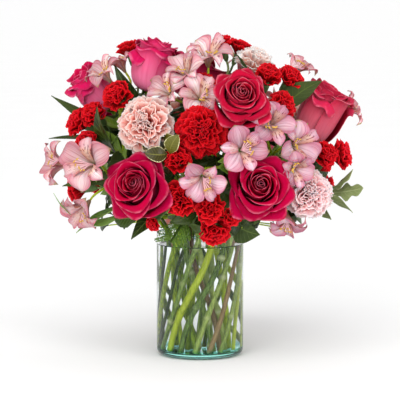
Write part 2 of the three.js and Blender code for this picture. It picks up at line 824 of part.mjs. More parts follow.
ROSES.forEach((row, index) => {
  row.name = row.whole ? `rose_${index + 1}` : `rose_bloom_${index + 1}`;
  const stemName = row.whole ? row.name : `rose_stem_${index + 1}`;
  settleSingleStem(stemName, row.whole ? "rose" : "stem", row, ROSE_STEM);
});
CARNATIONS.forEach((row, index) => {
  row.name = row.whole ? `carnation_${index + 1}` : `carnation_bloom_${index + 1}`;
  const stemName = row.whole ? row.name : `carnation_stem_${index + 1}`;
  settleSingleStem(stemName, row.whole ? row.colour : "greyStem", row, CARNATION_STEM);
});
SPRAYS.forEach((row, index) => settleBranching(`spray_carnation_stem_${index + 1}`, row, SPRAY_STEM));
LILIES.forEach((row, index) => settleBranching(`alstroemeria_stem_${index + 1}`, row, LILY_STEM));
for (const row of GREENS) {
  row.stations = stemStations(row.mouth, GREEN_STEM, row.route.map(vector), STEM_STEPS);
  settleStem(row.name, row.finish, row.stations, GREEN_STEM);
  noteLeaves(row.name, row.stations, row.leaves);
  if (row.leaflets) {
    settle(row.name, row.finish, leaflets(row.stations, row.leaflets));
  }
}

for (const row of ROSES) {
  settle(row.name, "rose", rose(row));
}
for (const row of CARNATIONS) {
  settle(row.name, row.colour, carnation(row));
}
SPRAYS.flatMap((row) => row.heads).forEach((head, index) => {
  settleHead(`spray_carnation_head_${index + 1}`, "red", head, sprayBloom, SPRAY_CALYX);
});
LILIES.flatMap((row) => row.heads).forEach((head, index) => {
  settleHead(`alstroemeria_head_${index + 1}`, "lily", head, lilyBloom, LILY_FUNNEL);
});
for (const { name, base, leaf } of leafWork) {
  settle(name, "leaf", leafBlade(base, leaf));
}

const water = turned(WATER_OUTLINE).subtract(wasm.Manifold.union(wells));
forms.push({ name: "water", solid: water });
finishOf.set("water", "water");

/** One body of all the forms of a node, loose scraps dropped, as a three.js mesh. */
function meshOf(name) {
  const solids = forms.filter((form) => form.name === name).map((form) => form.solid);
  const bodies = wasm.Manifold.union(solids).simplify(SIMPLIFY).decompose();
  bodies.sort((one, other) => other.volume() - one.volume());
  const { vertProperties, triVerts } = bodies[0].getMesh();
  const geometry = new THREE.BufferGeometry();
  geometry.setAttribute("position", new THREE.BufferAttribute(vertProperties, 3));
  geometry.setIndex(new THREE.BufferAttribute(triVerts, 1));
  const mesh = new THREE.Mesh(geometry, new THREE.MeshStandardMaterial(FINISHES[finishOf.get(name)]));
  mesh.name = name;
  return mesh;
}

const bouquet = new THREE.Group();
bouquet.name = "bouquet_in_vase";
for (const name of finishOf.keys()) {
  bouquet.add(meshOf(name));
}

export default bouquet;
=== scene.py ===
"""A mixed bouquet in a clear glass cylinder of water.

Hot pink roses, pink and red carnations, red spray carnations, pale pink alstroemeria and
several greens. Shapes are worked out in millimetres and put into the meshes in metres, in
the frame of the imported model: +Z up, the origin at the middle of the vase's underside, and
-Y towards the viewer. Petals and leaves are closed thin sheets worked out on grids.
"""

import logging
import math
from collections.abc import Iterable, Sequence
from dataclasses import dataclass, field, replace
from enum import Enum
from typing import Any

import bpy
import numpy as np
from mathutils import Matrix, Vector

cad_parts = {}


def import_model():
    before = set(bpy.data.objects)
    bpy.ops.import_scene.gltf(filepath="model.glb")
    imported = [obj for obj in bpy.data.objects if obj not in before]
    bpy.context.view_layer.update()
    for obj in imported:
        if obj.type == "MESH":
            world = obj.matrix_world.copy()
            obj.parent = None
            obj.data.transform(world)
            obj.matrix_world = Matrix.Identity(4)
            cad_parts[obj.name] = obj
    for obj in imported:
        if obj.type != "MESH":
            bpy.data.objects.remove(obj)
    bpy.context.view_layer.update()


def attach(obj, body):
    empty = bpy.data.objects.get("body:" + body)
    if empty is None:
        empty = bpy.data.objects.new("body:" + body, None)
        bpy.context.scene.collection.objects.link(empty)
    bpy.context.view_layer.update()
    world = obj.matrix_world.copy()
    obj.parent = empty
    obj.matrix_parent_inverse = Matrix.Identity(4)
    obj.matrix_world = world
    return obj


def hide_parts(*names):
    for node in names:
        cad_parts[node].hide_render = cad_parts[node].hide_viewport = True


LOG = logging.getLogger("bouquet")

Array = np.ndarray
Point = tuple[float, float, float]

# --- Sizes in millimetres, and shares, as the solids have them ---

MILLIMETRE = 0.001
GAP = 0.3  # between a stem and what it stands on or carries
STEM_MOUTH = 147.0  # height where the stems spread, just over the vase
HEART_HEIGHT = 190.0  # of the point that leaves turn away from
ROOT = 5.0  # how far a whole flower's stem runs into its bloom
NECK_LENGTH = 25.0  # straight part of a stem under its bloom
PEDICEL_LEAD = 0.3  # share of a pedicel that runs along its bloom's axis
FORK_OVERLAP = 1.0  # how far a branch starts inside its stem
BEND_SHARE = 0.4  # where a branch bends, and by what share of its length it rises there
BEND_LIFT = 0.12
KNUCKLE_REACH = 2.0  # half a knuckle's length
SPRAY_CALYX = 1.65  # how far behind a bloom its pedicel ends, in its radii
LILY_FUNNEL = 0.45


class Ring(Enum):
    """The rings in which the stems stand: radius, and turn in degrees from mouth to floor."""

    INNER = (11.5, -78.0)
    MIDDLE = (25.0, 78.0)
    OUTER = (39.5, -78.0)


class Tint(Enum):
    """The colours of the carnations."""

    PINK = "pink"
    RED = "red"


class Outline(Enum):
    """Outlines of a leaf: share of its length, and share of its half width there."""

    PLAIN = ((0, 0.02), (0.06, 0.07), (0.18, 0.34), (0.42, 1), (0.66, 0.84), (0.86, 0.4), (1, 0.01))
    WAVED = ((0, 0.03), (0.09, 0.1), (0.22, 0.5), (0.5, 1), (0.76, 0.82), (0.92, 0.42), (1, 0.03))
    LOBED = (
        (0, 0.04), (0.12, 0.1), (0.24, 0.34), (0.34, 0.82), (0.46, 0.4), (0.6, 1), (0.73, 0.46),
        (0.84, 0.62), (0.94, 0.34), (1, 0.02),
    )
    NARROW = ((0, 0.1), (0.3, 0.8), (0.65, 1), (0.9, 0.4), (1, 0.02))


Mouth = tuple[Ring, float]


@dataclass(frozen=True)
class Leaf:
    """A leaf: its share of the stem, tip, width, bow and, if not outwards, its facing."""

    start: float
    tip: Point
    width: float
    outline: Outline = Outline.PLAIN
    arch: float = 0.1
    faces: Point | None = None


@dataclass(frozen=True)
class Bloom:
    """The middle of a bloom, the way its heart looks, its radius and its depth."""

    at: Point
    faces: Point
    radius: float
    depth: float = 0.0


@dataclass(frozen=True)
class Single:
    """A stem with one bloom. A whole one is one piece with its bloom in the solids."""

    bloom: Bloom
    mouth: Mouth
    leaves: tuple[Leaf, ...] = ()
    tint: Tint = Tint.PINK
    whole: bool = False


@dataclass(frozen=True)
class Head:
    """A knuckle at the end of a branch, with its blooms."""

    hub: Point
    blooms: tuple[Bloom, ...]
    leaves: tuple[Leaf, ...] = ()


@dataclass(frozen=True)
class Branching:
    """A stem that forks to several heads."""

    mouth: Mouth
    fork: Point
    heads: tuple[Head, ...]
    leaves: tuple[Leaf, ...] = ()


@dataclass(frozen=True)
class Sprig:
    """A stem of greens, from the vase's mouth along its route, with leaves or leaflets."""

    name: str
    mouth: Mouth
    route: tuple[Point, ...]
    leaves: tuple[Leaf, ...] = ()
    pairs: int = 0


# --- Where everything is ---

ROSES = (
    Single(Bloom((-52, -30, 340), (0.22, -0.1, 0.97), 31, 56), (Ring.INNER, 205), leaves=(
        Leaf(0.74, (-98, -46, 342), 20, faces=(-0.3, -1, 0.35)),
    )),
    Single(Bloom((45, -121, 305), (0.15, -0.85, 0.45), 33, 50), (Ring.MIDDLE, 298)),
    Single(Bloom((139, -20, 284), (0.46, -0.1, 0.88), 33, 62), (Ring.MIDDLE, 5)),
    Single(Bloom((-68, -122, 208), (-0.35, -0.9, 0.2), 38, 54), (Ring.OUTER, 236), leaves=(
        Leaf(0.45, (-78, -88, 146), 20),
    )),
    Single(Bloom((66, -122, 206), (0.1, -0.95, 0.25), 38, 54), (Ring.OUTER, 294), leaves=(
        Leaf(0.3, (68, -78, 150), 36),
    )),
    Single(Bloom((-122, -10, 312), (-0.6, -0.2, 0.75), 29, 50), (Ring.MIDDLE, 185), leaves=(
        Leaf(0.55, (-171, -36, 306), 14),
        Leaf(0.5, (-175, -26, 256), 14),
    )),
    Single(Bloom((-100, 65, 272), (-0.55, 0.45, 0.7), 37, 54), (Ring.MIDDLE, 145), whole=True),
    Single(Bloom((80, 108, 222), (0.5, 0.8, 0.3), 37, 54), (Ring.OUTER, 50), whole=True),
    Single(Bloom((-5, 58, 322), (0, 0.4, 0.92), 36, 54), (Ring.INNER, 100), whole=True),
)

CARNATIONS = (
    Single(Bloom((-61, -108, 278), (-0.25, -0.93, 0.25), 32, 38), (Ring.MIDDLE, 225)),
    Single(Bloom((2, -117, 271), (0, -0.97, 0.2), 31, 38), (Ring.MIDDLE, 262), tint=Tint.RED),
    Single(Bloom((123, -88, 198), (0.3, -0.92, 0.15), 29, 38), (Ring.OUTER, 316)),
    Single(Bloom((63, -25, 344), (0.3, -0.2, 0.93), 24, 34), (Ring.INNER, 335), leaves=(
        Leaf(0.85, (42, -58, 354), 16),
    )),
    Single(
        Bloom((-80, 108, 196), (-0.55, 0.8, 0.2), 30, 38), (Ring.OUTER, 120), tint=Tint.RED,
        whole=True,
    ),
    Single(Bloom((-28, 112, 272), (-0.2, 0.8, 0.55), 30, 38), (Ring.MIDDLE, 105), whole=True),
    Single(Bloom((120, 40, 268), (0.7, 0.3, 0.6), 29, 38), (Ring.OUTER, 22), whole=True),
)

SPRAYS = (
    Branching((Ring.OUTER, 168), fork=(-72, -8, 215), heads=(
        Head((-74, -16, 294), (
            Bloom((-84, 14, 360), (-0.3, 0.2, 0.95), 15),
            Bloom((-94, -75, 309), (-0.4, -0.8, 0.4), 18),
        )),
        Head((-100, -34, 252), (
            Bloom((-142, -45, 277), (-0.8, -0.4, 0.4), 17),
            Bloom((-129, -68, 252), (-0.5, -0.8, 0.2), 17),
            Bloom((-122, -60, 287), (-0.5, -0.7, 0.5), 16),
        )),
        Head((-100, 30, 206), (
            Bloom((-142, 40, 226), (-0.85, 0.3, 0.3), 17),
            Bloom((-125, 70, 200), (-0.7, 0.65, 0.1), 16),
            Bloom((-148, 18, 192), (-0.95, 0.1, -0.1), 16),
        )),
    )),
    Branching((Ring.OUTER, 272), fork=(-2, -58, 172), heads=(
        Head((-18, -88, 192), (
            Bloom((-22, -132, 196), (-0.1, -0.98, 0.1), 20),
            Bloom((-53, -112, 166), (-0.5, -0.7, -0.4), 9),
            Bloom((-25, -127, 240), (-0.1, -0.9, 0.4), 16),
        )),
        Head((14, -88, 176), (
            Bloom((12, -134, 185), (0.05, -0.98, 0.1), 16),
            Bloom((17, -116, 157), (0.1, -0.85, -0.4), 18),
            Bloom((36, -128, 176), (0.4, -0.9, 0), 12),
        )),
    )),
    Branching((Ring.OUTER, 340), fork=(78, -24, 182), heads=(
        Head(
            (82, -46, 288),
            (
                Bloom((78, -72, 332), (0.2, -0.6, 0.75), 17),
                Bloom((103, -62, 330), (0.4, -0.5, 0.75), 16),
                Bloom((92, -90, 298), (0.3, -0.85, 0.4), 17),
            ),
            leaves=(Leaf(0.92, (137, -84, 325), 28),),
        ),
        Head((120, -36, 206), (
            Bloom((165, -30, 238), (0.9, -0.35, 0.15), 18),
            Bloom((144, -54, 240), (0.6, -0.75, 0.2), 16),
        )),
        Head((104, 38, 206), (
            Bloom((146, 52, 222), (0.85, 0.4, 0.2), 17),
            Bloom((128, 74, 186), (0.75, 0.6, -0.1), 16),
            Bloom((150, 22, 196), (0.95, 0.1, 0), 16),
        )),
    )),
    Branching((Ring.INNER, 35), fork=(14, -6, 250), heads=(
        Head((22, -18, 312), (
            Bloom((26, -12, 368), (-0.2, -0.1, 0.97), 14),
            Bloom((48, -2, 362), (0.4, 0.1, 0.9), 14),
            Bloom((4, -66, 322), (-0.1, -0.8, 0.5), 14),
        )),
    )),
)

LILIES = (
    Branching(
        (Ring.OUTER, 192), fork=(-72, -34, 190),
        heads=(
            Head((-100, -48, 206), (
                Bloom((-124, -92, 232), (-0.45, -0.85, 0.15), 30),
                Bloom((-160, -45, 228), (-0.9, -0.35, 0.1), 26),
                Bloom((-132, -72, 180), (-0.5, -0.6, -0.6), 25),
            )),
            Head((-92, -26, 286), (
                Bloom((-108, -44, 330), (-0.5, -0.4, 0.7), 22),
                Bloom((-90, -20, 340), (-0.45, -0.1, 0.9), 18),
            )),
        ),
        leaves=(Leaf(0.9, (-166, -82, 198), 15, arch=0.3), Leaf(0.8, (-142, -60, 150), 20)),
    ),
    Branching((Ring.INNER, 270), fork=(-6, -30, 250), heads=(
        Head((-8, -46, 296), (
            Bloom((10, -40, 350), (0.05, -0.5, 0.85), 26),
            Bloom((-16, -78, 334), (-0.2, -0.7, 0.7), 22),
            Bloom((-36, -88, 312), (-0.4, -0.8, 0.4), 22),
            Bloom((0, -97, 308), (0, -0.9, 0.4), 25),
        )),
    )),
    Branching((Ring.MIDDLE, 332), fork=(54, -38, 200), heads=(
        Head(
            (28, -84, 228),
            (
                Bloom((46, -138, 251), (0.15, -0.95, 0.1), 26),
                Bloom((3, -138, 219), (0, -0.9, -0.3), 25),
            ),
            leaves=(Leaf(0.92, (20, -136, 238), 14),),
        ),
        Head(
            (82, -62, 240),
            (
                Bloom((79, -112, 277), (0.2, -0.9, 0.3), 25),
                Bloom((108, -95, 254), (0.5, -0.8, 0.1), 25),
                Bloom((106, -106, 228), (0.3, -0.9, -0.1), 20),
            ),
            leaves=(Leaf(0.92, (121, -96, 278), 18),),
        ),
        Head((80, -54, 186), (Bloom((99, -86, 167), (0.1, -0.5, -0.85), 22),)),
        Head((100, -4, 250), (
            Bloom((112, -28, 336), (0.5, -0.2, 0.75), 20),
            Bloom((174, 12, 288), (0.85, -0.1, 0.4), 20),
        )),
    )),
    Branching((Ring.OUTER, 80), fork=(14, 68, 190), heads=(
        Head((0, 92, 184), (
            Bloom((2, 132, 208), (0, 0.95, 0.2), 26),
            Bloom((-34, 120, 168), (-0.2, 0.9, -0.3), 25),
            Bloom((36, 124, 166), (0.25, 0.9, -0.3), 25),
        )),
        Head((44, 62, 258), (
            Bloom((48, 98, 290), (0.3, 0.7, 0.6), 26),
            Bloom((90, 74, 284), (0.6, 0.5, 0.6), 25),
            Bloom((58, 50, 328), (0.3, 0.3, 0.9), 25),
        )),
    )),
)

GREENS = (
    Sprig("pittosporum_sprig", (Ring.MIDDLE, 243), route=((-43, -98, 246),), leaves=(
        Leaf(0.95, (-62, -132, 250), 24, Outline.WAVED),
        Leaf(0.95, (-30, -134, 266), 22, Outline.WAVED),
        Leaf(0.8, (-38, -120, 232), 20, Outline.WAVED),
        Leaf(0.7, (-66, -78, 250), 20, Outline.WAVED),
    )),
    Sprig("ruscus_sprig_left", (Ring.OUTER, 208), route=((-90, -66, 240),), leaves=(
        Leaf(0.95, (-116, -86, 296), 24),
        Leaf(0.9, (-100, -112, 236), 22),
        Leaf(0.75, (-158, -50, 203), 16),
        Leaf(0.6, (-118, -70, 208), 18),
    )),
    Sprig("oak_leaf_sprig_right", (Ring.OUTER, 2), route=((146, -24, 198),), leaves=(
        Leaf(0.9, (188, -42, 200), 24, Outline.LOBED),
        Leaf(0.85, (176, -44, 222), 20, Outline.LOBED),
        Leaf(0.85, (176, -46, 172), 14),
        Leaf(0.7, (150, -66, 166), 16),
    )),
    Sprig("ruscus_sprig_back", (Ring.OUTER, 100), route=((-12, 96, 232),), leaves=(
        Leaf(0.95, (-62, 128, 236), 22),
        Leaf(0.95, (40, 134, 246), 22),
        Leaf(0.9, (-10, 142, 240), 20),
        Leaf(0.7, (-64, 110, 158), 22),
        Leaf(0.7, (76, 112, 168), 22),
    )),
    Sprig("fern_frond", (Ring.OUTER, 254), route=((-18, -50, 160), (-34, -68, 140)), pairs=6),
)

# --- Shapes ---


FINE_STEPS = 60  # of each stretch of a curve, before its stations are spaced evenly
DOME_RISE = 0.25  # of a tube's end, in its radii
DOME_RADIUS = 0.7


def unit(vectors: Array) -> Array:
    """The vectors, one or an array of them, at length one."""
    length = np.linalg.norm(vectors, axis=-1, keepdims=True)
    return vectors / np.maximum(length, 1e-9)


def turn_to(faces: Point) -> Array:
    """The rotation that takes +Z to the way a bloom faces, by the shortest arc.

    Formula: with v the cross product of +Z and the direction, and c their dot product, it is
    the identity, plus v's cross matrix, plus that matrix squared over 1 + c.

    Args:
        faces: The direction, of any length.

    Returns:
        A 3 by 3 matrix.
    """
    x, y, z = unit(np.array(faces, float))
    cross = np.array([[0.0, 0.0, x], [0.0, 0.0, y], [-x, -y, 0.0]])
    return np.eye(3) + cross + cross @ cross / (1.0 + z)


def eased(knots: Sequence[tuple[float, float]], at: Array) -> Array:
    """Values eased through knots.

    Formula: a cubic between each two knots, whose slope at a knot is the mean of the slopes
    of its two chords, and nought at a crest or a dip.

    Args:
        knots: Pairs of place and value, places rising.
        at: The places that are asked for.

    Returns:
        The value at each place.
    """
    place, value = np.array(knots, float).T
    span = np.diff(place)
    chord = np.diff(value) / span
    inner = np.where(chord[:-1] * chord[1:] > 0, (chord[:-1] + chord[1:]) / 2, 0.0)
    slope = np.concatenate([chord[:1], inner, chord[-1:]])
    index = np.clip(np.searchsorted(place, at, side="right") - 1, 0, len(place) - 2)
    h = span[index]
    s = np.clip((at - place[index]) / h, 0, 1)
    rise = s * s * (3 - 2 * s)
    bends = s * (1 - s) ** 2 * h * slope[index] - s * s * (1 - s) * h * slope[index + 1]
    return value[index] * (1 - rise) + value[index + 1] * rise + bends


def curve(points: Sequence[Point] | Array, steps: int) -> Array:
    """Evenly spaced stations on a smooth curve through points.

    Formula: a cubic between each two points, whose slopes follow from its neighbours with
    each stretch timed by the square root of its length; past the ends the first and last
    stretches are repeated. Stations lie at equal lengths along it.

    Args:
        points: The points, in order.
        steps: How many stretches the stations make.

    Returns:
        steps + 1 stations.
    """
    p = np.array(points, float)
    p = np.vstack([2 * p[0] - p[1], p, 2 * p[-1] - p[-2]])
    before, start, end, after = p[:-3, None], p[1:-2, None], p[2:-1, None], p[3:, None]
    pace = np.maximum(np.linalg.norm(np.diff(p, axis=0), axis=1), 1e-6) ** 0.5
    a, b, c = (pace[i : len(pace) - 2 + i, None, None] for i in range(3))
    leave = ((start - before) / a - (end - before) / (a + b)) * b + (end - start)
    reach = (end - start) + ((after - end) / c - (after - start) / (b + c)) * b
    s = np.linspace(0, 1, FINE_STEPS)[None, :, None]
    rise = s * s * (3 - 2 * s)
    bends = s * (1 - s) ** 2 * leave - s * s * (1 - s) * reach
    fine = (start * (1 - rise) + end * rise + bends).reshape(-1, 3)
    length = np.concatenate([[0], np.cumsum(np.linalg.norm(np.diff(fine, axis=0), axis=1))])
    wanted = np.linspace(0, length[-1], steps + 1)
    return np.stack([np.interp(wanted, length, fine[:, k]) for k in range(3)], axis=1)


@dataclass
class Shell:
    """Closed surfaces as arrays, in millimetres.

    uv is the place across and along a petal, leaf or stem. marks holds three numbers for the
    finishes: layer (0 at the heart, 1 outside), tone (drawn at random for each petal) and
    side (0 on the face, 1 on the back).
    """

    points: Array
    quads: Array
    corners: Array
    uv: Array
    marks: Array

    @staticmethod
    def joined(shells: Iterable["Shell"]) -> "Shell":
        """All the shells as one, with their faces renumbered."""
        parts = list(shells)
        starts = np.cumsum([0] + [len(part.points) for part in parts[:-1]])
        return Shell(
            np.concatenate([part.points for part in parts]),
            np.concatenate([part.quads + start for part, start in zip(parts, starts)]),
            np.concatenate([part.corners + start for part, start in zip(parts, starts)]),
            np.concatenate([part.uv for part in parts]),
            np.concatenate([part.marks for part in parts]),
        )

    def placed(self, turn: Array, at: Point) -> "Shell":
        """The shell turned and moved to its place."""
        points = self.points @ turn.T + np.array(at, float)
        return Shell(points, self.quads, self.corners, self.uv, self.marks)


NO_CORNERS = np.zeros((0, 3), np.int64)


def sheet(grid: Array, thickness: float | Array, layer: float = 0.0, tone: float = 0.0) -> Shell:
    """A closed thin sheet: the grid is its face, and its back lies a thickness behind.

    Formula: the face's normal is the cross product of the grid's slopes across and along,
    and each point of the back is its point of the face less the normal times the thickness.
    A band of faces all round joins the two edges.

    Args:
        grid: Points, rows along by columns across by 3.
        thickness: In millimetres, one number or one for each point.
        layer: 0 for a heart petal, 1 for an outer one.
        tone: This petal's own shade, 0 to 1.

    Returns:
        The closed sheet.
    """
    rows, columns = grid.shape[:2]
    normal = unit(np.cross(np.gradient(grid, axis=1), np.gradient(grid, axis=0)))
    depth = np.broadcast_to(thickness, (rows, columns))[..., None]
    points = np.concatenate([grid.reshape(-1, 3), (grid - normal * depth).reshape(-1, 3)])
    number = np.arange(rows * columns).reshape(rows, columns)
    low, high = number[:-1, :-1].ravel(), number[1:, 1:].ravel()
    face = np.stack([low, number[:-1, 1:].ravel(), high, number[1:, :-1].ravel()], axis=1)
    back = face[:, ::-1] + number.size
    rim = np.concatenate([number[0], number[1:, -1], number[-1, -2::-1], number[-2:0:-1, 0]])
    ahead = np.roll(rim, -1)
    band = np.stack([ahead, rim, rim + number.size, ahead + number.size], axis=1)
    across, along = np.meshgrid(np.linspace(0, 1, columns), np.linspace(0, 1, rows))
    uv = np.tile(np.stack([across.ravel(), along.ravel()], axis=1), (2, 1))
    side = np.repeat([0.0, 1.0], number.size)
    marks = np.stack([np.full_like(side, layer), np.full_like(side, tone), side], axis=1)
    return Shell(points, np.concatenate([face, back, band]), NO_CORNERS, uv, marks)


def tube(path: Array, radius: float | Array, sides: int = 12, tone: float = 0.0,
         layer: float = 0.0) -> Shell:
    """A closed round tube along a path, with a small dome at each end.

    Formula: each station carries a circle across the path. Its two directions are the cross
    product of the path's direction with the axis that the path follows least, and the cross
    product of the direction with that one. Each end closes in a smaller circle and a pole.

    Args:
        path: Stations along the middle.
        radius: One number, or one for each station.
        sides: Sides of each circle.
        tone: This tube's own shade, 0 to 1.
        layer: What the finish reads as the layer.

    Returns:
        The closed tube. Its uv is bearing and share of its length; its marks hold the layer,
        the tone and the radius over the mean radius, less one.
    """
    ahead = unit(np.gradient(path, axis=0))
    axis = np.eye(3)[np.argmin(np.abs(ahead).mean(axis=0))]
    one = unit(np.cross(ahead, axis))
    other = np.cross(ahead, one)
    size = np.broadcast_to(np.asarray(radius, float), (len(path),)).copy()
    first = path[0] - ahead[0] * size[0] * DOME_RISE
    last = path[-1] + ahead[-1] * size[-1] * DOME_RISE
    path = np.vstack([first, path, last])
    one, other = np.vstack([one[:1], one, one[-1:]]), np.vstack([other[:1], other, other[-1:]])
    size = np.concatenate([[size[0] * DOME_RADIUS], size, [size[-1] * DOME_RADIUS]])
    angle = np.linspace(0, 2 * math.pi, sides, endpoint=False)
    ring = one[:, None] * np.cos(angle)[:, None] + other[:, None] * np.sin(angle)[:, None]
    grid = path[:, None] + ring * size[:, None, None]
    return wrapped(grid, path[0], path[-1], np.stack([
        np.full(grid.shape[:2], layer), np.full(grid.shape[:2], tone),
        np.broadcast_to((size / size.mean() - 1)[:, None], grid.shape[:2]),
    ], axis=2))


def wrapped(grid: Array, first: Array, last: Array, marks: Array) -> Shell:
    """A closed surface of rings: each row of the grid is one ring, and each end has a pole.

    Args:
        grid: Points, rings by sides by 3, each ring running round the way of the path by the
            right-hand rule.
        first: The pole that closes the first ring.
        last: The pole that closes the last one.
        marks: Three numbers for each point of the grid.

    Returns:
        The closed surface.
    """
    rings, sides = grid.shape[:2]
    number = np.arange(rings * sides).reshape(rings, sides)
    beside = np.roll(number, -1, axis=1)
    quads = np.stack([number[:-1], beside[:-1], beside[1:], number[1:]], axis=-1).reshape(-1, 4)
    foot, head = number.size, number.size + 1
    corners = np.concatenate([
        np.stack([beside[0], number[0], np.full(sides, foot)], axis=1),
        np.stack([number[-1], beside[-1], np.full(sides, head)], axis=1),
    ])
    across, along = np.meshgrid(np.linspace(0, 1, sides), np.linspace(0, 1, rings))
    uv = np.concatenate([np.stack([across.ravel(), along.ravel()], axis=1), [[0.5, 0], [0.5, 1]]])
    flat = marks.reshape(-1, 3)
    return Shell(
        np.concatenate([grid.reshape(-1, 3), [first, last]]), quads, corners, uv,
        np.concatenate([flat, flat[:1], flat[-1:]]),
    )


def turned(outline: Sequence[tuple[float, float]], sides: int) -> Shell:
    """A turned form: an outline of radius and height, both ends on the axis, carried round it.

    Args:
        outline: Radius and height, from the underside's middle out, up and back to the axis.
        sides: Sides of the form.

    Returns:
        The closed form.
    """
    radius, height = np.array(outline, float).T
    angle = np.linspace(0, 2 * math.pi, sides, endpoint=False)
    middle = radius[1:-1, None]
    level = np.broadcast_to(height[1:-1, None], (len(middle), sides))
    grid = np.stack([middle * np.cos(angle), middle * np.sin(angle), level], axis=2)
    poles = [np.array([0, 0, height[0]]), np.array([0, 0, height[-1]])]
    return wrapped(grid, poles[0], poles[1], np.zeros(grid.shape))


def rounded(corners: Sequence[tuple[float, float, float]], steps: int = 6,
            hold: float = 0.35) -> list[tuple[float, float]]:
    """An outline with its corners rounded.

    Formula: a corner between two edges becomes an arc drawn as the parabola from a point a
    radius before the corner, towards the corner, to a point a radius after it. A further
    point lies a little way along each edge, so the straight wall keeps its own shading.

    Args:
        corners: Radius, height and rounding radius of each corner; nought leaves it sharp.
        steps: Stretches of each arc.
        hold: How far along the edges the further points lie, in mm.

    Returns:
        The outline's points of radius and height.
    """
    points: list[tuple[float, float]] = []
    places = np.array([corner[:2] for corner in corners], float)
    for index, (x, z, size) in enumerate(corners):
        here = places[index]
        if index in (0, len(corners) - 1):
            points.append((x, z))
            continue
        back, on = unit(places[index - 1] - here), unit(places[index + 1] - here)
        s = np.linspace(0, 1, steps + 1 if size else 1)[:, None]
        arc = (here + back * size) * (1 - s) ** 2 + here * 2 * s * (1 - s)
        arc = arc + (here + on * size) * s**2
        points.append(tuple(here + back * (size + hold)))
        points.extend(map(tuple, arc))
        points.append(tuple(here + on * (size + hold)))
    return points


def on_ring(radius: float, degrees: float, height: float) -> Array:
    """The point on a ring of stems at a height, for a bearing in degrees."""
    bearing = math.radians(degrees)
    return np.array([radius * math.cos(bearing), radius * math.sin(bearing), height])


@dataclass
class Stem:
    """A stem: straight from the vase's floor to its mouth, then a curve through points."""

    mouth: Mouth
    radius: float
    points: list[Array]
    floor: float = 6.0
    steps: int = 40
    straight: int = 24
    bow: float = 5.5
    bow_change: float = 0.35
    sway: float = 0.5
    lift: float = 1.3
    front_gain: float = 0.42
    inner_share: float = 0.75

    def foot_and_top(self) -> tuple[Array, Array]:
        """The cut end's middle, a gap above the floor, and the point above the vase's mouth."""
        ring, degrees = self.mouth
        radius, turn = ring.value
        top = on_ring(radius, degrees, STEM_MOUTH)
        foot = on_ring(radius, degrees + turn, self.floor + GAP)
        lean = np.linalg.norm((top - foot)[:2]) / np.linalg.norm(top - foot)
        foot[2] += self.lift * self.radius * lean
        return foot, top

    def fullness(self) -> float:
        """How much thicker than in the solids, for the look of a full vase.

        Formula: one plus the front gain times how far in front it stands, times the inner
        share plus the rest of one times its ring's share of the outer radius.
        """
        ring, degrees = self.mouth
        front = -math.sin(math.radians(degrees + ring.value[1] / 2))
        inner = self.inner_share
        ring_share = inner + (1 - inner) * ring.value[0] / Ring.OUTER.value[0]
        return (1.0 + self.front_gain * front) * ring_share

    def free(self) -> Array:
        """Stations along the part above the vase."""
        return curve([self.foot_and_top()[1], *self.points], self.steps)

    def path(self) -> Array:
        """Stations from the cut end to the stem's end.

        Formula: in the vase it is the straight line from foot to mouth, pushed away from the
        vase's axis by a bow times the sine of pi times the share of the way, and aside by
        a sway of it times the sine of twice that. Bows grow with the ring's radius; they
        change with the sine of five times the bearing, and sways with that of three times.
        """
        foot, top = self.foot_and_top()
        ring, degrees = self.mouth
        turn = math.radians(degrees)
        size = self.bow * ring.value[0] / Ring.OUTER.value[0]
        share = np.linspace(0, 1, self.straight, endpoint=False)[:, None]
        line = foot * (1 - share) + top * share
        away = unit(line * [1, 1, 0])
        aside = np.stack([-away[:, 1], away[:, 0], 0 * away[:, 0]], axis=1)
        bowed = size * (1 + self.bow_change * math.sin(5 * turn))
        line += away * bowed * np.sin(math.pi * share)
        swayed = size * self.sway * math.sin(3 * turn + 1)
        line += aside * swayed * np.sin(2 * math.pi * share)
        return np.concatenate([line, self.free()])


def station(path: Array, share: float) -> Array:
    """The point at a share of a path of evenly spaced stations."""
    place = share * (len(path) - 1)
    return np.array([np.interp(place, np.arange(len(path)), path[:, k]) for k in range(3)])


# --- Finishes ---


def linear(code: str) -> tuple[float, float, float, float]:
    """A colour for the shader from its sRGB hex code.

    Formula: each channel is divided by 12.92 below 0.04045, and above it is the share
    (channel + 0.055) / 1.055 raised to the power 2.4.
    """
    channels = [int(code[i : i + 2], 16) / 255 for i in (1, 3, 5)]
    straight = [c / 12.92 if c <= 0.04045 else ((c + 0.055) / 1.055) ** 2.4 for c in channels]
    return (straight[0], straight[1], straight[2], 1.0)


def per_metre(size: float) -> float:
    """The scale of a pattern on Object coordinates, in metres, for a feature size in mm."""
    return 1.0 / (size * MILLIMETRE)


COLOUR = {"data_type": "RGBA"}


